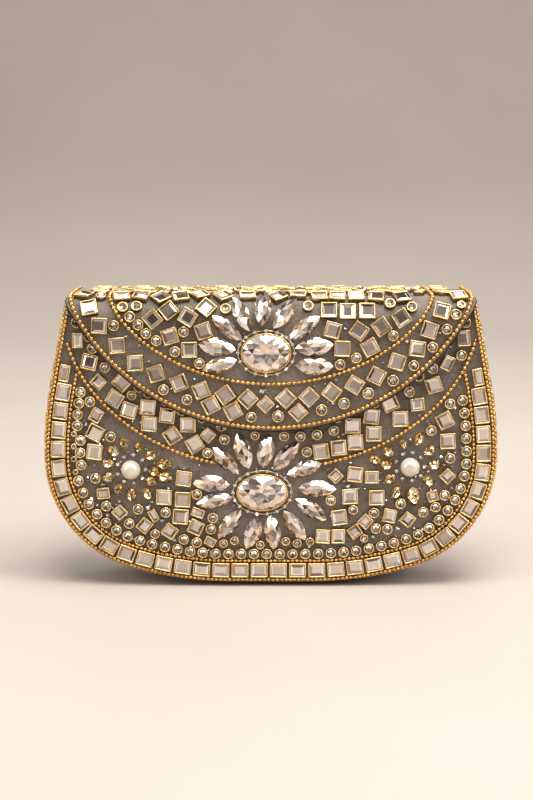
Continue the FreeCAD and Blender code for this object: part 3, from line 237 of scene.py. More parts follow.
# A setting's section as (distance in from its outside, height), with the painted light of each span: painted
# shade on the outer wall, inner wall and underside, a painted highlight across the rim.
TRAY_PROFILE = [(0.00, -0.35), (0.00, 1.55), (0.08, 1.86), (0.26, 2.02), (0.48, 2.00),
                (0.68, 1.76), (LIP, 1.15)]
TRAY_PAINTED_LIGHT = [0.55, 0.95, 1.1, 1.1, 0.9, 0.32, 0.3]
MIRROR_PALE = (0.78, 0.69, 0.63)
MIRROR_DEEP = (0.36, 0.285, 0.24)
# Bevel tones as painted reflections: near-white and bluish painted highlights, middle tones, and dark painted
# shade.
PAINTED_BEVEL_HIGHLIGHTS = [(0.98, 0.96, 0.93), (0.94, 0.89, 0.84), (0.84, 0.90, 0.98), (0.90, 0.83, 0.77)]
PAINTED_BEVEL_MIDTONES = [(0.80, 0.72, 0.65), (0.66, 0.57, 0.50), (0.70, 0.74, 0.80)]
PAINTED_BEVEL_SHADES = [(0.42, 0.33, 0.27), (0.30, 0.23, 0.18), (0.54, 0.45, 0.38)]
# The share of painted highlight, middle tone and painted shade on a mirror's upper, left, lower and right
# bevel: painted reflections, mostly a painted highlight below and to the right and mostly painted shade
# above.
BEVEL_PAINTED_LIGHT_SHARES = [(0.15, 0.30, 0.55), (0.25, 0.35, 0.40), (0.70, 0.22, 0.08), (0.55, 0.30, 0.15)]


def tray(half_a, half_b, rng):
    loops = []
    corner = 0.42
    for inset, z in TRAY_PROFILE:
        loops.append(round_rect(half_a - inset, half_b - inset, max(corner - inset, 0.08), z))
    skew = rng.gauss(0, 0.012)
    loops = [[(x + skew * y, y, z) for x, y, z in loop] for loop in loops]
    return skin(loops, ring=True)


def mirror_glass(half_a, half_b, rng, deep):
    """A foiled mirror with a cut bevel: points, faces and a tone for each face."""
    a, b = half_a - LIP + OVERLAP, half_b - LIP + OVERLAP
    edge = 1.46
    bevel = min(rng.uniform(0.75, 1.15), 0.42 * min(a, b))
    slope = rng.choice((-1, -1, -1, 1)) * math.tan(math.radians(rng.uniform(14, 27)))
    inner = edge + 0.05 + slope * bevel
    loops = [rect(a, b, 0.3), rect(a, b, edge), rect(a - 0.12, b - 0.12, edge + 0.05)]
    loops.append(rect(a - 0.12 - bevel, b - 0.12 - bevel, inner))
    points, faces = skin(loops)
    centre = mix(MIRROR_PALE, MIRROR_DEEP, min(1, max(0, rng.gauss(deep, 0.22))))
    sides = []
    for share in BEVEL_PAINTED_LIGHT_SHARES:
        family = rng.choices((PAINTED_BEVEL_HIGHLIGHTS, PAINTED_BEVEL_MIDTONES, PAINTED_BEVEL_SHADES), share)[0]
        sides.append(rng.choice(family))
    # The outer walls get half the centre's colour as painted shade, the thin lip 1.15 times it as a painted
    # highlight, and the bevels their painted reflections.
    tones = [shade(centre, 0.5)] * 4
    tones += [shade(centre, 1.15)] * 4
    tones += sides
    tones += [centre, centre]
    return points, faces, tones


def painted_tray_light(faces, tint):
    """A setting's rim with a painted highlight, between walls darkened as painted shade."""
    count = len(faces) // len(TRAY_PAINTED_LIGHT)
    return [(tint * t, tint * t, tint * t) for t in TRAY_PAINTED_LIGHT for _ in range(count)]


def round_cup(radius):
    loops = [circle(radius - inset, z, 20) for inset, z in TRAY_PROFILE]
    return skin(loops, ring=True)


# Facet tones of round stones and chips: painted reflections of the cut, from painted glints through middle
# tones to painted shade, each facet's picked at random.
PALE = [(0.98, 0.97, 0.96), (0.86, 0.83, 0.79), (0.70, 0.65, 0.60), (0.82, 0.88, 0.96)]
MIDDLE = [(0.60, 0.54, 0.48), (0.46, 0.40, 0.35), (0.70, 0.64, 0.58)]
DARK = [(0.30, 0.25, 0.21), (0.18, 0.15, 0.12), (0.42, 0.36, 0.31), (0.12, 0.10, 0.08)]
ICE = [(0.99, 0.98, 0.97), (0.92, 0.91, 0.90), (0.80, 0.88, 0.98), (0.66, 0.62, 0.58)]
BLUSH = [(0.98, 0.93, 0.88), (0.90, 0.78, 0.70), (0.76, 0.62, 0.53), (0.92, 0.90, 0.88)]


def cut_round(radius, rng, low=0.3, girdle=1.45, crown=2.1, heart=1.55, bright=PALE, dark=DARK, sides=8):
    """A round cut stone: crown facets, and through its table the cut, with a painted highlight above and
    painted shade below.
    """
    outer = circle(radius, girdle, 2 * sides)
    points = circle(radius, low, 2 * sides) + outer
    table = circle(radius * rng.uniform(0.60, 0.72), crown, sides, math.pi / sides)
    points += table + [(rng.gauss(0, 0.05) * radius, rng.gauss(0.05, 0.06) * radius, heart)]
    faces, colours = [tuple(reversed(range(2 * sides)))], [dark[0]]
    n = 2 * sides
    for k in range(n):
        m = (k + 1) % n
        faces.append((k, m, n + m, n + k))
        colours.append(dark[0])
    for k in range(sides):
        a, b, c = n + 2 * k, n + 2 * k + 1, n + (2 * k + 2) % n
        t = 2 * n + k
        last = 2 * n + (k - 1) % sides
        # Crown facets: a painted highlight more often on the lower side, painted shade more often on the
        # upper side.
        up = math.sin(2 * math.pi * (k + 0.5) / sides)
        shares = (0.25, 0.40, 0.35) if up > 0 else (0.45, 0.30, 0.25)
        faces += [(a, b, t), (b, c, t), (a, t, last)]
        colours += [rng.choice(rng.choices((bright, MIDDLE, dark), shares)[0]) for _ in range(3)]
        # Facets seen through the table: mostly a painted highlight on the upper side, mostly painted shade on
        # the lower.
        up = math.sin(2 * math.pi * k / sides)
        shares = (0.70, 0.25, 0.05) if up > 0.1 else (0.10, 0.30, 0.60)
        faces.append((last, t, 2 * n + sides))
        colours.append(rng.choice(rng.choices((bright, MIDDLE, dark), shares)[0]))
    return points, faces, colours


def lens_loop(half_a, half_b, z, count):
    """A pointed oval of two arcs."""
    radius = (half_a ** 2 + half_b ** 2) / (2 * half_b)
    sweep = math.asin(min(1.0, half_a / radius))
    upper = []
    for k in range(count):
        t = sweep * (1 - 2 * k / count)
        upper.append((radius * math.sin(t), radius * math.cos(t) - radius + half_b, z))
    return upper + [(-x, -y, z) for x, y, _ in upper]


# Facet tones of the pointed and oval stones: the stone's champagne, clear or topaz colour, with painted
# reflections of the cut running from near-white painted glints to near-black painted shade.
CHAMPAGNE = [(0.98, 0.92, 0.85), (0.92, 0.77, 0.64), (0.82, 0.64, 0.49),
             (0.60, 0.43, 0.30), (0.34, 0.23, 0.15), (0.90, 0.73, 0.58)]
CLEAR = [(0.99, 0.96, 0.93), (0.90, 0.84, 0.79), (0.74, 0.67, 0.61),
         (0.48, 0.41, 0.36), (0.24, 0.19, 0.16), (0.84, 0.77, 0.71)]
TOPAZ = [(1.00, 0.94, 0.76), (1.00, 0.84, 0.52), (0.94, 0.70, 0.34), (0.76, 0.51, 0.20), (0.44, 0.27, 0.09)]


def navette(half_a, half_b, rng, upper, lower, height=3.0, count=8):
    """A pointed cut stone; facets above its long axis take tones from upper, those below from lower."""
    girdle_z, table_z = 0.42 * height, height
    base = lens_loop(half_a, half_b, -0.1, count)
    girdle = lens_loop(half_a, half_b, girdle_z, count)
    half = count // 2
    wide = lens_loop(0.60 * half_a, 0.56 * half_b, table_z, half)
    points = base + girdle + wide
    n = 2 * count
    faces, colours = [tuple(reversed(range(n)))], [lower[3]]
    for k in range(n):
        m = (k + 1) % n
        faces.append((k, m, n + m, n + k))
        colours.append(lower[3])
    ring = 2 * n
    for k in range(count):
        a, b, c = n + 2 * k, n + (2 * k + 1) % n, n + (2 * k + 2) % n
        t, u = ring + k, ring + (k + 1) % count
        side = upper if k < half else lower
        faces += [(a, b, t), (b, u, t), (b, c, u)]
        colours += [rng.choice(side) for _ in range(3)]
    hearts = [(0.22 * half_a, rng.gauss(0, 0.03) * half_b, table_z - 0.85),
              (-0.22 * half_a, rng.gauss(0, 0.03) * half_b, table_z - 0.85)]
    first = len(points)
    points += hearts
    for k in range(count):
        t, u = ring + k, ring + (k + 1) % count
        middle_x = (points[t][0] + points[u][0]) / 2
        heart = first if middle_x > 0 else first + 1
        faces.append((t, u, heart))
        side = upper if k < half else lower
        colours.append(rng.choice(side))
    top, bottom = ring + half // 2, ring + half + half // 2
    faces += [(top, first + 1, first), (bottom, first, first + 1)]
    colours += [rng.choice(upper), rng.choice(lower)]
    return points, faces, colours


def oval_cut(half_a, half_b, rng, tones, height=4.0, sides=12):
    """The large oval: two rings of crown facets, a table and the cut seen through it."""
    def ring(share, z, count, start=0.0):
        return [(share * half_a * math.cos(start + 2 * math.pi * k / count),
                 share * half_b * math.sin(start + 2 * math.pi * k / count), z) for k in range(count)]
    n = 2 * sides
    step = math.pi / sides
    loops = [ring(1, -0.1, n), ring(1, 1.5, n)]
    points = loops[0] + loops[1] + ring(0.80, 3.0, sides, step) + ring(0.56, height, sides)
    points += ring(0.30, height - 0.75, sides, step) + [(0, 0, height - 1.15)]
    faces, colours = [tuple(reversed(range(n)))], [tones[3]]
    for k in range(n):
        m = (k + 1) % n
        faces.append((k, m, n + m, n + k))
        colours.append(tones[3])
    s, t, u, heart = 2 * n, 2 * n + sides, 2 * n + 2 * sides, 2 * n + 3 * sides
    for k in range(sides):
        a, b, c = n + 2 * k, n + 2 * k + 1, n + (2 * k + 2) % n
        here, before, after = s + k, s + (k - 1) % sides, t + (k + 1) % sides
        faces += [(a, b, here), (b, c, here), (a, here, t + k, before), (here, after, t + k)]
        last = u + (k - 1) % sides
        faces += [(t + k, after, u + k), (t + k, u + k, last), (last, u + k, heart)]
        colours += [rng.choice(tones) for _ in range(7)]
    return points, faces, colours


# ---------------------------------------------------------------- materials
def material(name):
    made = bpy.data.materials.new(name)
    made.use_nodes = True
    tree = made.node_tree
    shader = tree.nodes["Principled BSDF"]
    return made, tree, shader


def node(tree, kind, **settings):
    made = tree.nodes.new(kind)
    for key, value in settings.items():
        if key in made.inputs:
            made.inputs[key].default_value = value
        else:
            setattr(made, key, value)
    return made


def noise(tree, scale, detail=3.0, rough=0.5):
    where = node(tree, "ShaderNodeTexCoord")
    made = node(tree, "ShaderNodeTexNoise", Scale=scale, Detail=detail, Roughness=rough)
    tree.links.new(where.outputs["Object"], made.inputs["Vector"])
    return made.outputs["Fac"]


def ramp(tree, source, stops):
    made = node(tree, "ShaderNodeValToRGB")
    line = made.color_ramp
    while len(line.elements) < len(stops):
        line.elements.new(0.5)
    for element, (place, colour) in zip(line.elements, stops):
        element.position = place
        element.color = (*colour, 1) if hasattr(colour, "__len__") else (colour, colour, colour, 1)
    tree.links.new(source, made.inputs["Fac"])
    return made.outputs["Color"]


def blend(tree, kind, factor, first, second):
    made = node(tree, "ShaderNodeMix", data_type="RGBA", blend_type=kind)
    sockets = [s for s in made.inputs if s.type == "RGBA"]
    for socket, value in zip(sockets, (first, second)):
        if hasattr(value, "is_linked"):
            tree.links.new(value, socket)
        else:
            socket.default_value = (*value, 1)
    if hasattr(factor, "is_linked"):
        tree.links.new(factor, made.inputs["Factor"])
    else:
        made.inputs["Factor"].default_value = factor
    return [s for s in made.outputs if s.type == "RGBA"][0]


def bump(tree, shader, source, strength, distance):
    made = node(tree, "ShaderNodeBump", Strength=strength, Distance=distance)
    tree.links.new(source, made.inputs["Height"])
    tree.links.new(made.outputs["Normal"], shader.inputs["Normal"])
    return made


def tone_of(tree):
    return node(tree, "ShaderNodeAttribute", attribute_name="tone").outputs["Color"]


def mirror_material():
    made, tree, shader = material("foiled mirror")
    smudge = ramp(tree, noise(tree, 900, 4), [(0.3, (0.90, 0.89, 0.88)), (0.7, (1, 1, 1))])
    tree.links.new(blend(tree, "MULTIPLY", 1.0, tone_of(tree), smudge), shader.inputs["Base Color"])
    tree.links.new(ramp(tree, noise(tree, 1500, 5), [(0.35, 0.05), (0.75, 0.17)]), shader.inputs["Roughness"])
    shader.inputs["Metallic"].default_value = 1.0
    shader.inputs["Coat Weight"].default_value = 0.4
    shader.inputs["Coat Roughness"].default_value = 0.03
    bump(tree, shader, noise(tree, 350, 2), 0.12, 0.0002)
    return made


def crystal_material(name, metal=0.88):
    made, tree, shader = material(name)
    cloud = ramp(tree, noise(tree, 700, 3), [(0.3, (0.86, 0.85, 0.84)), (0.65, (1, 1, 1))])
    tree.links.new(blend(tree, "MULTIPLY", 1.0, tone_of(tree), cloud), shader.inputs["Base Color"])
    tree.links.new(ramp(tree, noise(tree, 1200, 3), [(0.4, 0.04), (0.8, 0.12)]), shader.inputs["Roughness"])
    shader.inputs["Metallic"].default_value = metal
    shader.inputs["Coat Weight"].default_value = 0.5
    shader.inputs["Coat Roughness"].default_value = 0.02
    shader.inputs["IOR"].default_value = 1.55
    return made


def brass_material(name, bright, deep, rough, grain=1600):
    made, tree, shader = material(name)
    patina = ramp(tree, noise(tree, 260, 5, 0.6), [(0.35, deep), (0.62, bright)])
    # The tone attribute multiplies in the settings' painted highlights and painted shade, the bead links'
    # painted shade and the beads' random tints.
    patina_and_painted_light = blend(tree, "MULTIPLY", 1.0, patina, tone_of(tree))
    tree.links.new(patina_and_painted_light, shader.inputs["Base Color"])
    low, high = rough
    tree.links.new(ramp(tree, noise(tree, grain, 4), [(0.3, low), (0.75, high)]), shader.inputs["Roughness"])
    shader.inputs["Metallic"].default_value = 1.0
    bump(tree, shader, noise(tree, grain, 3), 0.35, 0.00006)
    return made


def resin_material():
    made, tree, shader = material("gritty resin")
    where = node(tree, "ShaderNodeTexCoord")
    grit = node(tree, "ShaderNodeTexVoronoi", Scale=1500.0)
    tree.links.new(where.outputs["Object"], grit.inputs["Vector"])
    broad = ramp(tree, noise(tree, 70, 4, 0.6), [(0.3, (0.145, 0.118, 0.094)), (0.7, (0.27, 0.228, 0.188))])
    fleck = ramp(tree, grit.outputs["Distance"],
                 [(0.05, (1.25, 1.22, 1.2)), (0.4, (0.95, 0.95, 0.95)), (0.9, (0.75, 0.74, 0.73))])
    fine = ramp(tree, noise(tree, 2200, 3), [(0.3, (0.82, 0.82, 0.82)), (0.75, (1.15, 1.15, 1.15))])
    colour = blend(tree, "MULTIPLY", 1.0, blend(tree, "MULTIPLY", 1.0, broad, fleck), fine)
    tree.links.new(colour, shader.inputs["Base Color"])
    tree.links.new(ramp(tree, noise(tree, 800, 3), [(0.3, 0.42), (0.7, 0.75)]), shader.inputs["Roughness"])
    height = blend(tree, "ADD", 0.5, noise(tree, 420, 5, 0.65), noise(tree, 2400, 2))
    bump(tree, shader, height, 1.0, 0.0006)
    return made


def pearl_material():
    made, tree, shader = material("pearl lustre")
    cloud = ramp(tree, noise(tree, 160, 3), [(0.35, (0.66, 0.58, 0.48)), (0.65, (0.78, 0.71, 0.62))])
    tree.links.new(cloud, shader.inputs["Base Color"])
    shader.inputs["Metallic"].default_value = 0.25
    shader.inputs["Roughness"].default_value = 0.25
    shader.inputs["Coat Weight"].default_value = 0.8
    shader.inputs["Coat Roughness"].default_value = 0.12
    bump(tree, shader, noise(tree, 500, 2), 0.04, 0.0002)
    return made


def velvet_material(name, colour, sheen=0.6):
    made, tree, shader = material(name)
    pile = ramp(tree, noise(tree, 1800, 4, 0.7), [(0.3, shade(colour, 0.55)), (0.7, shade(colour, 1.5))])
    tree.links.new(pile, shader.inputs["Base Color"])
    shader.inputs["Roughness"].default_value = 0.92
    shader.inputs["Sheen Weight"].default_value = sheen
    shader.inputs["Sheen Roughness"].default_value = 0.4
    bump(tree, shader, noise(tree, 2600, 4), 0.6, 0.0003)
    return made


MIRROR = mirror_material()
BEZEL = brass_material("antique brass", (0.94, 0.70, 0.36), (0.74, 0.49, 0.20), (0.20, 0.36))
GOLD = brass_material("gold beads", (0.93, 0.56, 0.18), (0.66, 0.34, 0.08), (0.18, 0.32))
PLATE = brass_material("plated brass", (0.78, 0.63, 0.38), (0.66, 0.50, 0.27), (0.18, 0.36))
SHEET = brass_material("rolled brass sheet", (0.66, 0.52, 0.30), (0.48, 0.36, 0.19), (0.28, 0.5), 500)
RHINESTONE = crystal_material("clear rhinestone")
NAVETTE = crystal_material("champagne crystal")
OVAL = crystal_material("oval crystal")
TOPAZ_CUT = crystal_material("topaz crystal")
RESIN = resin_material()
PEARL = pearl_material()
LINING = velvet_material("lining pile", (0.045, 0.036, 0.030))
FLAP_LINING = velvet_material("flap lining pile", (0.018, 0.016, 0.015))
BINDING = velvet_material("edge binding", (0.010, 0.009, 0.008), 0.05)

# ---------------------------------------------------------------- squares, rounds and crystals
rng = random.Random(41)
WHITE = (1.0, 1.0, 1.0)


def square_pieces(label, settings, mirrors, body, deep, lean=1.6):
    trays, glass = Soup(), Soup()
    for seat in seats_of(mirrors, "square", sunk=SUNK):
        axes = tilted(seat["axes"], rng, lean)
        half_a, half_b = seat["length"] / 2 + WALL, seat["width"] / 2 + WALL
        points, faces = tray(half_a, half_b, rng)
        trays.add(points, faces, painted_tray_light(faces, rng.uniform(0.86, 1.0)), True, seat["at"], axes)
        points, faces, tones = mirror_glass(half_a, half_b, rng, deep)
        glass.add(points, faces, tones, False, seat["at"], axes)
    piece(label + "_trays", trays, BEZEL, body, [settings])
    piece(label + "_glass", glass, MIRROR, body, [mirrors])


def round_pieces(label, cups, stones, body):
    rims, glass = Soup(), Soup()
    for seat in seats_of(stones, "round", sunk=SUNK):
        axes = tilted(seat["axes"], rng, 2.0)
        radius = seat["length"] / 2 + WALL
        points, faces = round_cup(radius)
        rims.add(points, faces, painted_tray_light(faces, rng.uniform(0.86, 1.0)), True, seat["at"], axes)
        points, faces, tones = cut_round(radius - LIP + OVERLAP, rng)
        glass.add(points, faces, tones, False, seat["at"], axes)
    piece(label + "_cups_fine", rims, BEZEL, body, [cups])
    piece(label + "_stones_cut", glass, RHINESTONE, body, [stones])


square_pieces("front_border", "front_border_settings", "front_border_mirrors", "body", 0.15, 1.0)
square_pieces("front_square", "front_square_settings", "front_square_mirrors", "body", 0.35)
square_pieces("flap_square", "flap_square_settings", "flap_square_mirrors", "flap", 0.55)
square_pieces("gusset_square", "gusset_square_settings", "gusset_square_mirrors", "body", 0.3, 1.0)
square_pieces("base_square", "base_settings", "base_mirrors", "body", 0.3, 0.0)
square_pieces("back_border", "back_border_settings", "back_border_mirrors", "body", 0.2, 1.0)
square_pieces("back_square", "back_square_settings", "back_square_mirrors", "body", 0.35)
round_pieces("front_round", "front_round_cups", "front_round_stones", "body")
round_pieces("flap_round", "flap_round_cups", "flap_round_stones", "flap")
round_pieces("gusset_round", "gusset_round_cups", "gusset_round_stones", "body")
round_pieces("back_round", "back_round_cups", "back_round_stones", "body")


def petal_pieces(name, source, body):
    soup = Soup()
    for seat in seats_of(source, "lens"):
        pair = [CHAMPAGNE, CLEAR]
        if rng.random() < 0.5:
            pair.reverse()
        points, faces, tones = navette(seat["length"] / 2, seat["width"] / 2, rng, *pair)
        soup.add(points, faces, tones, False, seat["at"], tilted(seat["axes"], rng, 1.5))
    piece(name, soup, NAVETTE, body, [source])


petal_pieces("flap_petals_cut", "flap_flower_petals", "flap")
petal_pieces("front_petals_cut", "front_flower_petals", "body")

small = Soup()
for seat in seats_of("side_flower_petals", "lens"):
    half_a, half_b = seat["length"] / 2, seat["width"] / 2
    height = min(3.0, 0.62 * seat["width"])
    points, faces, tones = navette(half_a, half_b, rng, TOPAZ, TOPAZ, height, 6)
    small.add(points, faces, tones, False, seat["at"], tilted(seat["axes"], rng, 4))
piece("side_petals_cut", small, TOPAZ_CUT, "body", ["side_flower_petals"])

OVALS = (("flap_oval_cut", "flap_flower_oval", "flap"), ("front_oval_cut", "front_flower_oval", "body"))
for name, source, body in OVALS:
    soup = Soup()
    for seat in seats_of(source, "oval"):
        points, faces, tones = oval_cut(seat["length"] / 2, seat["width"] / 2, rng, CHAMPAGNE[:3] + CLEAR)
        soup.add(points, faces, tones, False, seat["at"], seat["axes"])
    piece(name, soup, OVAL, body, [source])

for source, body in (("flap_halo_stones", "flap"), ("front_halo_stones", "body")):
    cups, stones = Soup(), Soup()
    for seat in seats_of(source, "round"):
        radius = seat["length"] / 2
        loops = [circle(radius * s, z, 12) for s, z in ((0.8, -0.1), (0.92, 0.9), (0.86, 1.02), (0.7, 0.9))]
        points, faces = skin(loops, low=True, high=True)
        cups.add(points, faces, WHITE, True, seat["at"], seat["axes"])
        points, faces, tones = cut_round(radius * 0.98, rng, 0.2, 1.05, 1.85, 1.45, ICE, BLUSH)
        stones.add(points, faces, tones, False, seat["at"], tilted(seat["axes"], rng, 4))
    piece(source + "_cups", cups, BEZEL, body)
    piece(source + "_cut", stones, RHINESTONE, body, [source])


def ball(radius, rings=12, sides=24, flat=1.0):
    points, faces = [(0, 0, -radius * flat)], []
    for i in range(1, rings):
        t = math.pi * i / rings
        points += circle(radius * math.sin(t), -radius * flat * math.cos(t), sides)
    points.append((0, 0, radius * flat))
    last = len(points) - 1
    for k in range(sides):
        m = (k + 1) % sides
        faces.append((0, 1 + m, 1 + k))
        for i in range(rings - 2):
            a, b = 1 + i * sides, 1 + (i + 1) * sides
            faces.append((a + k, a + m, b + m, b + k))
        faces.append((1 + (rings - 2) * sides + k, 1 + (rings - 2) * sides + m, last))
    return points, faces


PEARL_RADIUS = 4.4
PEARL_RISE = 0.64         # a pearl's centre above the bed, as a share of its radius
pearls = Soup()
for seat in seats_of("side_flower_pearls", "round"):
    points, faces = ball(PEARL_RADIUS, 20, 40)
    centre = seat["at"] + seat["axes"][:, 2] * PEARL_RADIUS * PEARL_RISE
    pearls.add(points, faces, WHITE, True, centre, seat["axes"])
piece("side_pearls_round", pearls, PEARL, "body", ["side_flower_pearls"])


# ---------------------------------------------------------------- bead chains
# The body's outline: a flat base, a shallow arc, a corner arc, a side arc and a straight lean.
BASE_HALF, BASE_RADIUS, CORNER_RADIUS, SIDE_RADIUS = 18.8, 155.2, 55.0, 173.2
BASE_SWEEP, SIDE_SWEEP = math.radians(18.0), math.radians(11.0)


def outline_arcs(inset):
    base_end = -math.pi / 2 + BASE_SWEEP
    c1 = (BASE_HALF, BASE_RADIUS)
    step = BASE_RADIUS - CORNER_RADIUS
    c2 = (c1[0] + step * math.cos(base_end), c1[1] + step * math.sin(base_end))
    c3 = (c2[0] + CORNER_RADIUS - SIDE_RADIUS, c2[1])
    return [(*c1, BASE_RADIUS - inset, -math.pi / 2, base_end), (*c2, CORNER_RADIUS - inset, base_end, 0.0),
            (*c3, SIDE_RADIUS - inset, 0.0, SIDE_SWEEP)]


def outline(inset, top):
    """Points (x, z) of half the outline, from the middle of the base up to a height."""
    points = [(x, inset) for x in np.linspace(0, BASE_HALF, 20)]
    for cx, cz, radius, start, end in outline_arcs(inset):
        for t in np.linspace(start, end, 60)[1:]:
            points.append((cx + radius * math.cos(t), cz + radius * math.sin(t)))
    x, z = points[-1]
    for t in np.linspace(0, 1, 40)[1:]:
        rise = (top - z) * t
        points.append((x - rise * math.tan(SIDE_SWEEP), z + rise))
    return [p for p in points if p[1] <= top + 1e-6]


def full_outline(inset, top):
    right = outline(inset, top)
    return [(-x, z) for x, z in reversed(right)] + right[1:]


def ellipse(centre_z, half_width, drop, count=400):
    turns = np.linspace(math.pi, 2 * math.pi, count)
    return [(half_width * math.cos(t), centre_z + drop * math.sin(t)) for t in turns]


def resample(path, pitch):
    """Points every pitch along a path of 3-D points, with the heading at each."""
    path = np.array(path, dtype=float)
    run = np.concatenate([[0], np.cumsum(np.linalg.norm(np.diff(path, axis=0), axis=1))])
    count = max(2, int(run[-1] / pitch))
    marks = np.linspace(pitch / 2, run[-1] - pitch / 2, count)
    spots = np.column_stack([np.interp(marks, run, path[:, k]) for k in range(3)])
    ahead = np.column_stack([np.interp(marks + 0.3, run, path[:, k]) for k in range(3)])
    behind = np.column_stack([np.interp(marks - 0.3, run, path[:, k]) for k in range(3)])
    way = ahead - behind
    return spots, way / np.linalg.norm(way, axis=1)[:, None]


# The links between the beads are darkened to 0.7: painted shade between the beads.
LINK_PAINTED_SHADE = (0.7, 0.7, 0.7)


def beads(soup, path, radius, pitch, keep=None):
    """A ball chain along a path: its beads and the short links between them."""
    spots, ways = resample(path, pitch)
    points, faces = ball(1.0, 7, 12)
    points = np.array(points)
    link, link_faces = skin([circle(0.3, z, 6) for z in (-0.5, 0.5)])
    link = np.array(link)
    for spot, way in zip(spots, ways):
        if keep and not keep(spot):
            continue
        side = np.cross(way, (0.31, 0.52, 0.79))
        side /= np.linalg.norm(side)
        axes = np.column_stack([side, np.cross(way, side), way])
        size = radius * rng.uniform(0.95, 1.03)
        jitter = np.array([rng.gauss(0, 0.03) for _ in range(3)])
        tint = rng.uniform(0.82, 1.0)
        soup.add(points * size, faces, (tint, tint, tint), True, spot + jitter, axes)
        stretch = np.array([1, 1, pitch])
        soup.add(link * stretch, link_faces, LINK_PAINTED_SHADE, True, spot + way * pitch / 2, axes)


def on_plane(path, y):
    return [(x, y, z) for x, z in path]


BEAD, SWAG_BEAD = 0.84, 0.96              # radii of the border chains' beads and the swag chains'
PITCH, SWAG_PITCH = 2.0, 2.3
OUTER_IN, INNER_IN, INNER_TOP = 3.2, 12.1, 101.5
FRONT_SWAG = (128.1, 93.9, 72.8)          # each swag as its ellipse's centre height, half width, drop
FLAP_SWAG = (156.2, 78.6, 60.9)
SWAG_ENDS = (-25.5, 23.5)                 # the front swag stops on each side of the front flower
SWAG_CLEAR = 1.9                          # what keeps this far from a swag chain's middle is clear of it
BACK_CHAIN_TOP = 127
EDGE_CHAIN_IN, EDGE_CHAIN_Y = 1.65, 19.1  # the gusset's edge chains: in from the outline, from the middle
front = Soup()
BODY_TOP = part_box("front_panel")[1].z / MM
GUSSET_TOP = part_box("gusset_band")[1].z / MM
sides = np.array([p for p in outline(5.2, BODY_TOP) if p[1] > 50])


def inside_chain(x, z):
    """True where a swag bead clears the outer chain."""
    return abs(x) < np.interp(z, sides[:, 1], sides[:, 0])


swag = [p for p in ellipse(*FRONT_SWAG) if p[1] < 124 and inside_chain(*p)]
left_swag = [p for p in swag if p[0] < SWAG_ENDS[0]]
right_swag = [p for p in swag if p[0] > SWAG_ENDS[1]]
beads(front, on_plane(full_outline(OUTER_IN, BODY_TOP), FRONT_Y - BEAD), BEAD, PITCH)
swag_array = np.array(left_swag + right_swag)
beads(front, on_plane(full_outline(INNER_IN, INNER_TOP), FRONT_Y - BEAD), BEAD, PITCH,
      lambda s: np.linalg.norm(swag_array - s[[0, 2]], axis=1).min() > SWAG_CLEAR)
piece("front_border_beads", front, GOLD, "body", ["front_border_chains"])
front = Soup()
for path in (left_swag, right_swag):
    beads(front, on_plane(path, FRONT_Y - SWAG_BEAD), SWAG_BEAD, SWAG_PITCH)
piece("front_swag_beads", front, GOLD, "body", ["front_swag_chains"])
back = Soup()
for inset in (OUTER_IN, INNER_IN):
    beads(back, on_plane(full_outline(inset, BACK_CHAIN_TOP), BACK_Y + BEAD), BEAD, PITCH)
piece("back_beads", back, GOLD, "body", ["back_chains"])
edges = Soup()
for y in (-EDGE_CHAIN_Y, EDGE_CHAIN_Y):
    beads(edges, on_plane(full_outline(EDGE_CHAIN_IN, GUSSET_TOP), MIDDLE_Y + y), BEAD, PITCH)
piece("gusset_edge_beads", edges, GOLD, "body", ["gusset_edge_chains"])

# The flap's bend: its centre, the radius of the resin's face, the rear end and the top of that face.
CORNER_Y, CORNER_Z, FACE_R, REAR_Y, TOP_Z = MIDDLE_Y - 17.4, 124.0, 10.0, MIDDLE_Y + 18.0, 134.0


def over_flap(curve, top_x, lift):
    """A curve drawn on the flap's front view, laid over its bend and back along its top."""
    reach = FACE_R + lift

    def on_bend(x, turn):
        return x, CORNER_Y - reach * math.cos(turn), CORNER_Z + reach * math.sin(turn)

    def half(side):
        points = []
        for x, z in curve:
            if x * side < 0:
                continue
            if z <= CORNER_Z:
                points.append((x, CORNER_Y - FACE_R - lift, z))
            elif z < TOP_Z - 1.0:
                points.append(on_bend(x, math.asin((z - CORNER_Z) / FACE_R)))
        points.sort(key=lambda p: (p[2], abs(p[0])))
        reached = math.asin(0.9)
        for t in np.linspace(reached, math.pi / 2, 8):
            points.append(on_bend(side * top_x, t))
        points += [(side * top_x, y, TOP_Z + lift) for y in np.linspace(CORNER_Y + 1, REAR_Y, 20)]
        return points
    left, right = half(-1), half(1)
    return list(reversed(left)) + right[1:]


chain = Soup()
EDGE_CENTRE, EDGE_RADIUS, EDGE_HALF, CHAIN_IN = 175.1, 101.6, 92.2, 1.9
radius = EDGE_RADIUS - CHAIN_IN
edge_curve = ellipse(EDGE_CENTRE, radius, radius, 700)
beads(chain, over_flap(edge_curve, EDGE_HALF - CHAIN_IN, SWAG_BEAD), SWAG_BEAD, SWAG_PITCH)
piece("flap_edge_beads", chain, GOLD, "flap", ["flap_edge_chain"])
chain = Soup()
JOIN_Z = 133.0            # where the swag's ellipse meets the straight run back along the top
swag_z, swag_half, swag_drop = FLAP_SWAG
join = swag_half * math.sqrt(1 - ((swag_z - JOIN_Z) / swag_drop) ** 2)
beads(chain, over_flap(ellipse(*FLAP_SWAG, 700), join, SWAG_BEAD), SWAG_BEAD, SWAG_PITCH)
piece("flap_swag_beads", chain, GOLD, "flap", ["flap_swag_chain"])


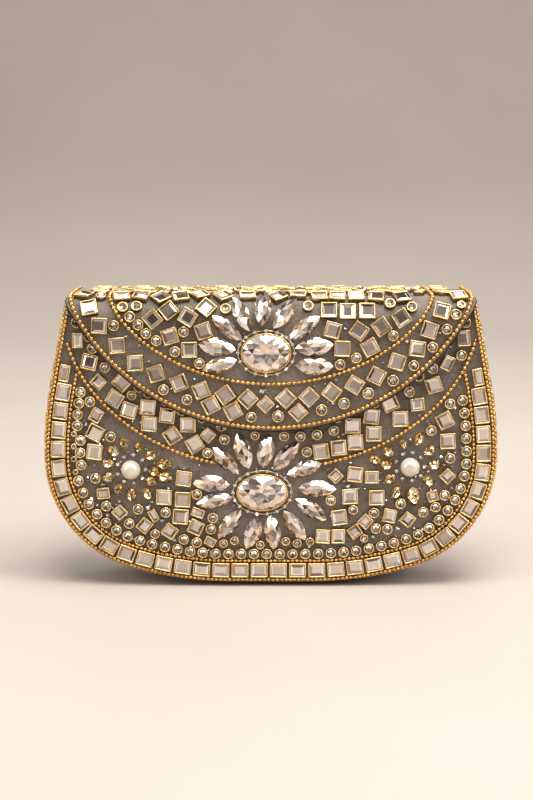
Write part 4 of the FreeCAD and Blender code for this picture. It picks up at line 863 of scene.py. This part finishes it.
def tube(soup, path, across, deep, tone, closed=False, sides=10):
    """A smooth tube along a path in the front view: half width across it, half depth front to back."""
    path = np.array(path, dtype=float)
    ahead = np.roll(path, -1, axis=0) - np.roll(path, 1, axis=0)
    if not closed:
        ahead[0], ahead[-1] = path[1] - path[0], path[-1] - path[-2]
    ahead /= np.linalg.norm(ahead, axis=1)[:, None]
    loops = []
    for spot, way in zip(path, ahead):
        out = np.array([0.0, -1.0, 0.0]) - way * -way[1]
        out /= np.linalg.norm(out)
        side = np.cross(way, out)
        turns = [2 * math.pi * k / sides for k in range(sides)]
        loops.append([tuple(spot + side * across * math.cos(t) + out * deep * math.sin(t)) for t in turns])
    points, faces = skin(loops, ring=closed)
    soup.add(points, faces, tone, True)


binding = Soup()
edge_curve = ellipse(EDGE_CENTRE, EDGE_RADIUS - 0.15, EDGE_RADIUS - 0.15, 300)
path = [p for p in over_flap(edge_curve, EDGE_HALF - 0.15, -1.2) if p[2] < TOP_Z - 1.6]
tube(binding, path, 0.5, 1.3, WHITE)
piece("flap_edge_binding", binding, BINDING, "flap")

wires = {"flap": Soup(), "body": Soup()}
# Each flower's oval, with the half width and half height of the ring of small stones round it.
HALOS = (("flap_flower_oval", "flap", 12.7, 10.1), ("front_flower_oval", "body", 13.4, 10.1))
for source, body, halo_a, halo_b in HALOS:
    for seat in seats_of(source, "oval"):
        turns = [2 * math.pi * k / 72 for k in range(72)]
        half_a, half_b = seat["length"] / 2 + 0.3, seat["width"] / 2 + 0.3
        for a, b, thick, lift in ((half_a, half_b, 0.36, 1.5), (halo_a, halo_b, 0.28, 0.9)):
            x, y, z = seat["at"]
            ring = [(x + a * math.cos(t), y - lift, z + b * math.sin(t)) for t in turns]
            tube(wires[body], ring, thick, thick, WHITE, True, 8)
for body, soup in wires.items():
    piece(body + "_oval_wire", soup, BEZEL, body)

# ---------------------------------------------------------------- linings
PUCKER = 0.12


def pucker(a, b):
    """A glued cloth's slight unevenness, in millimetres."""
    return PUCKER * (math.sin(a / 7.3 + 1.3 * math.sin(b / 11.0)) * math.sin(b / 8.1 + 0.7) - 0.6)


def cloth(name, rows, finish, body, node_name):
    """A glued lining made from rows of points."""
    soup = Soup()
    count = len(rows[0])
    faces = [(i * count + k, i * count + k + 1, (i + 1) * count + k + 1, (i + 1) * count + k)
             for i in range(len(rows) - 1) for k in range(count - 1)]
    soup.add([p for row in rows for p in row], faces, WHITE, True)
    obj = piece(name, soup, finish, body, [node_name])


LINED = 4.7               # the pocket lining, in from the outline
LINED_Y = 19.8            # and its front and back sheets, from the middle
walls = np.array([p for p in outline(LINED, BODY_TOP) if p[1] > LINED + 0.02])
levels = np.linspace(walls[0, 1], BODY_TOP - 0.1, 60)
halves = np.interp(levels, walls[:, 1], walls[:, 0])
for name, side, panel in (("lining_front", -1, "front_panel"), ("lining_back", 1, "back_panel")):
    rows = [[(half * t, MIDDLE_Y + side * (LINED_Y + pucker(half * t, z)), z) for t in np.linspace(-1, 1, 81)]
            for z, half in zip(levels, halves)]
    cloth(name, rows, LINING, "body", "lining")
path = full_outline(LINED, BODY_TOP - 0.1)
rows = []
for k, (x, z) in enumerate(path):
    inward = Vector((-x, 60 - z)).normalized()
    row = []
    for y in np.linspace(-LINED_Y, LINED_Y, 17):
        lift = -pucker(y * 2, k * 3.0)
        row.append((x + inward.x * lift, MIDDLE_Y + y, z + inward.y * lift))
    rows.append(row)
cloth("lining_gusset", rows, LINING, "body", "lining")

LINING_R = 7.78           # the flap lining's radius round the bend
quarter = LINING_R * math.pi / 2
rear = CORNER_Z + quarter + REAR_Y - CORNER_Y
rows = []
columns = np.linspace(-EDGE_HALF + 0.2, EDGE_HALF - 0.2, 91)
lows = [EDGE_CENTRE - math.sqrt((EDGE_RADIUS - 0.2) ** 2 - x * x) for x in columns]
for share in np.linspace(0, 1, 70):
    row = []
    for x, low in zip(columns, lows):
        v = low + (rear - low) * share
        reach = LINING_R + pucker(x, v)
        past = min(max(v - CORNER_Z, 0), quarter)
        turn = past / LINING_R
        y = CORNER_Y - reach * math.cos(turn) + max(0, v - CORNER_Z - quarter)
        z = min(v, CORNER_Z) + reach * math.sin(turn)
        row.append((x, y, z))
    rows.append(row)
cloth("flap_lining_cloth", rows, FLAP_LINING, "flap", "flap_lining")

# ---------------------------------------------------------------- loose chips of crystal in the resin
# Chips worth placing one by one, as (x, z, size) in the layout of the stones.
BODY_CHIPS = [(-44, 61, 2.3), (-40.5, 58, 1.5), (-33.5, 58.3, 1.4), (-40, 52.8, 1.9), (-33, 51, 1.3),
              (-84.3, 72.5, 1.3), (-67.5, 73, 1.6), (-58.3, 66, 1.6), (-71.9, 63.2, 1.4), (-19.5, 47.8, 1.2),
              (6, 50.8, 1.2), (36.5, 58, 1.5), (44.5, 71.2, 1.2), (78.5, 54, 1.3), (82.5, 53.2, 1.1),
              (77.5, 57.5, 1.1), (68, 43.5, 1.3), (82.5, 43.6, 1.2), (57.5, 25, 1.4), (46.5, 21.3, 1.2),
              (71.7, 51, 1.1), (82, 108, 1.6), (-69, 37.4, 1.4), (-49.5, 28.5, 1.3), (-44, 19.7, 1.2),
              (-56, 34.3, 1.5), (-81.5, 38.5, 1.2), (-74, 31, 1.3), (-76.5, 45, 1.2), (19.4, 14.2, 1.5),
              (12, 57, 1.1), (52, 66, 1.2), (-52, 62, 1.3), (70, 75, 1.3), (-70, 82, 1.2), (-66, 46, 1.2),
              (60, 47, 1.2), (35, 44, 1.2)]
FLAP_CHIPS = [(-87.8, 129.3, 1.5), (-56.9, 127.4, 1.7), (65.9, 126.9, 1.4), (-4.2, 87.2, 1.9),
              (23, 115.3, 1.3), (-60, 108, 1.2), (-24, 92, 1.3), (-66, 112, 1.1), (51, 105, 1.3),
              (20, 91, 1.2), (62, 110, 1.2)]


def body_place(x, z):
    """A point of the front's layout, set out on the body: a little taller, and wider low down."""
    return x * (1.0163 - 0.00023 * z), 1.57 + 1.0425 * z - 0.00018 * z * z, FRONT_Y


def flap_place(x, z):
    """A point of the flap's layout, set out on the flat front of the flap."""
    return x * (1.008 - 0.00022 * z), min(z + 4.8, CORNER_Z), CORNER_Y - FACE_R


def shard(size):
    """An irregular broken crystal, longer one way, with a slanted top."""
    sides = rng.choice((3, 4, 5, 5, 6))
    start, stretch = rng.uniform(0, 6.28), rng.uniform(1.0, 1.6)
    low, high = [], []
    for k in range(sides):
        t = start + 2 * math.pi * (k + rng.uniform(-0.2, 0.2)) / sides
        reach = size * rng.uniform(0.8, 1.1)
        low.append((reach * stretch * math.cos(t), reach * math.sin(t), -0.1))
        high.append((0.62 * low[-1][0], 0.62 * low[-1][1], rng.uniform(0.9, 1.6)))
    points, faces = skin([low, high])
    top = faces.pop()
    points.append((rng.uniform(-0.3, 0.3) * size, rng.uniform(-0.3, 0.3) * size, 1.7))
    faces += [(top[k], top[(k + 1) % sides], len(points) - 1) for k in range(sides)]
    return points, faces


def grit(count, half, low, high):
    """Places and sizes of the small crumbs of crystal between the stones."""
    spots = []
    for _ in range(count):
        spots.append((rng.uniform(-half, half), rng.uniform(low, high), rng.uniform(0.4, 0.9)))
    return spots


def chips(name, spots, place, body, nodes, keep):
    """Chips where the list says, each kept small enough to clear the stones around it."""
    seats = []
    for source, kind in nodes:
        for seat in seats_of(source, kind):
            reach = max(seat["length"], seat["width"]) / 2 * 0.85
            seats.append((seat["at"][0], seat["at"][2], reach))
    soup = Soup()
    for x, z, size in spots:
        u, v, y = place(x, z)
        room = min(math.hypot(u - a, v - b) - reach for a, b, reach in seats)
        if room < 0.5 or not keep(u, v):
            continue
        points, faces = shard(min(size, 0.8 * room + 0.2))
        tones = [rng.choice(ICE + PALE + MIDDLE) for _ in faces]
        axes = np.column_stack([(1, 0, 0), (0, 0, 1), (0, -1, 0)])
        soup.add(points, faces, tones, False, (u, y, v), axes)
    piece(name, soup, RHINESTONE, body)


rim = np.array([p for p in outline(14.5, 100) if p[1] > 14.6])
flap_swag = np.array(ellipse(*FLAP_SWAG))
chips("front_chips", BODY_CHIPS + grit(700, 88, 14, 92), body_place, "body",
      [("front_square_mirrors", "square"), ("front_round_stones", "round"), ("side_flower_petals", "lens"),
       ("front_flower_petals", "lens"), ("side_flower_pearls", "round"), ("front_flower_oval", "oval"),
       ("front_halo_stones", "round")],
      lambda u, v: v > 15 and abs(u) < np.interp(v, rim[:, 1], rim[:, 0])
      and np.linalg.norm(swag_array - (u, v), axis=1).min() > SWAG_CLEAR)
chips("flap_chips", FLAP_CHIPS + grit(160, 84, 76, 119), flap_place, "flap",
      [("flap_square_mirrors", "square"), ("flap_round_stones", "round"), ("flap_flower_petals", "lens"),
       ("flap_flower_oval", "oval"), ("flap_halo_stones", "round")],
      lambda u, v: math.hypot(u, v - EDGE_CENTRE) < EDGE_RADIUS - 4.5
      and np.linalg.norm(flap_swag - (u, v), axis=1).min() > SWAG_CLEAR)

# ---------------------------------------------------------------- finishes of the CAD nodes that stay
FINISHES = {
    "front_resin_bed": RESIN, "back_resin_bed": RESIN, "gusset_resin_bed": RESIN, "flap_resin_bed": RESIN,
    "front_panel": SHEET, "back_panel": SHEET, "gusset_band": SHEET, "flap_shell": SHEET,
    "hinge_leaf_body": PLATE, "hinge_leaf_flap": PLATE, "hinge_pin": PLATE, "hinge_rivets_body": PLATE,
    "hinge_rivets_flap": PLATE, "snap_socket": PLATE, "snap_socket_washer": PLATE, "snap_stud": PLATE,
    "snap_stud_washer": PLATE,
}
for name, finish in FINISHES.items():
    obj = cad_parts[name]
    obj.data.materials.clear()
    obj.data.materials.append(finish)
    if "tone" not in obj.data.color_attributes:
        layer = obj.data.color_attributes.new("tone", "FLOAT_COLOR", "CORNER")
        layer.data.foreach_set("color", [1.0] * (4 * len(obj.data.loops)))


# ---------------------------------------------------------------- floor, light and camera
def floor():
    made, tree, shader = material("floor paper")
    tree.links.new(ramp(tree, noise(tree, 3, 3), [(0.3, (0.49, 0.435, 0.385)), (0.7, (0.53, 0.475, 0.425))]),
                   shader.inputs["Base Color"])
    shader.inputs["Roughness"].default_value = 0.9
    soup = Soup()
    rows = [(-4000, 0), (900, 0)]
    for t in np.linspace(0, math.pi / 2, 16)[1:]:
        rows.append((900 + 700 * math.sin(t), 700 - 700 * math.cos(t)))
    rows.append((1600, 4000))
    points = [(x, y, z) for y, z in rows for x in (-5000, 5000)]
    faces = [(2 * k, 2 * k + 1, 2 * k + 3, 2 * k + 2) for k in range(len(rows) - 1)]
    soup.add(points, faces, WHITE, True)
    obj = bpy.data.objects.new("floor", soup.mesh("floor"))
    bpy.context.scene.collection.objects.link(obj)
    obj.data.materials.append(made)


floor()


def softbox(name, at, target, size, power, colour):
    data = bpy.data.lights.new(name, "AREA")
    data.shape = "RECTANGLE"
    data.size, data.size_y = size
    data.energy = power
    data.color = colour
    obj = bpy.data.objects.new(name, data)
    bpy.context.scene.collection.objects.link(obj)
    obj.location = at
    obj.rotation_euler = (Vector(target) - Vector(at)).to_track_quat("-Z", "Y").to_euler()


softbox("overhead softbox", (0.15, -0.30, 1.10), (0, 0, 0.05), (0.9, 0.6), 22, (1.0, 0.97, 0.93))
softbox("left softbox", (-1.1, -0.5, 0.55), (0, 0, 0.06), (0.4, 0.8), 7, (1.0, 0.95, 0.90))
softbox("right softbox", (1.1, -0.55, 0.75), (0, 0, 0.06), (0.45, 0.8), 13, (1.0, 0.98, 0.95))
softbox("back softbox", (0.0, 0.9, 0.8), (0, 0, 0.1), (1.4, 0.5), 8, (1.0, 0.97, 0.95))

world = bpy.data.worlds.new("studio")
bpy.context.scene.world = world
world.use_nodes = True
backdrop = world.node_tree.nodes["Background"]
where = node(world.node_tree, "ShaderNodeTexCoord")
split = node(world.node_tree, "ShaderNodeSeparateXYZ")
world.node_tree.links.new(where.outputs["Generated"], split.inputs["Vector"])
sky = ramp(world.node_tree, split.outputs["Z"], [(0.0, (0.22, 0.17, 0.14)), (0.12, (0.34, 0.28, 0.24)),
                                                 (0.45, (0.66, 0.61, 0.57)), (0.9, (1.0, 0.97, 0.94))])
world.node_tree.links.new(sky, backdrop.inputs["Color"])
backdrop.inputs["Strength"].default_value = 0.9

camera_data = bpy.data.cameras.new("camera")
camera_data.lens = 69.3
camera_data.sensor_width = 36
camera = bpy.data.objects.new("camera", camera_data)
bpy.context.scene.collection.objects.link(camera)
LOOK_DOWN = math.radians(9.0)
CAMERA_DISTANCE = 0.700
aim = Vector((-2.0, FRONT_Y, 87.1)) * MM
camera.location = aim + Vector((0, -math.cos(LOOK_DOWN), math.sin(LOOK_DOWN))) * CAMERA_DISTANCE
camera.rotation_euler = (aim - camera.location).to_track_quat("-Z", "Y").to_euler()
bpy.context.scene.camera = camera

bpy.context.scene.view_settings.view_transform = "Standard"
bpy.context.scene.view_settings.exposure = -0.5
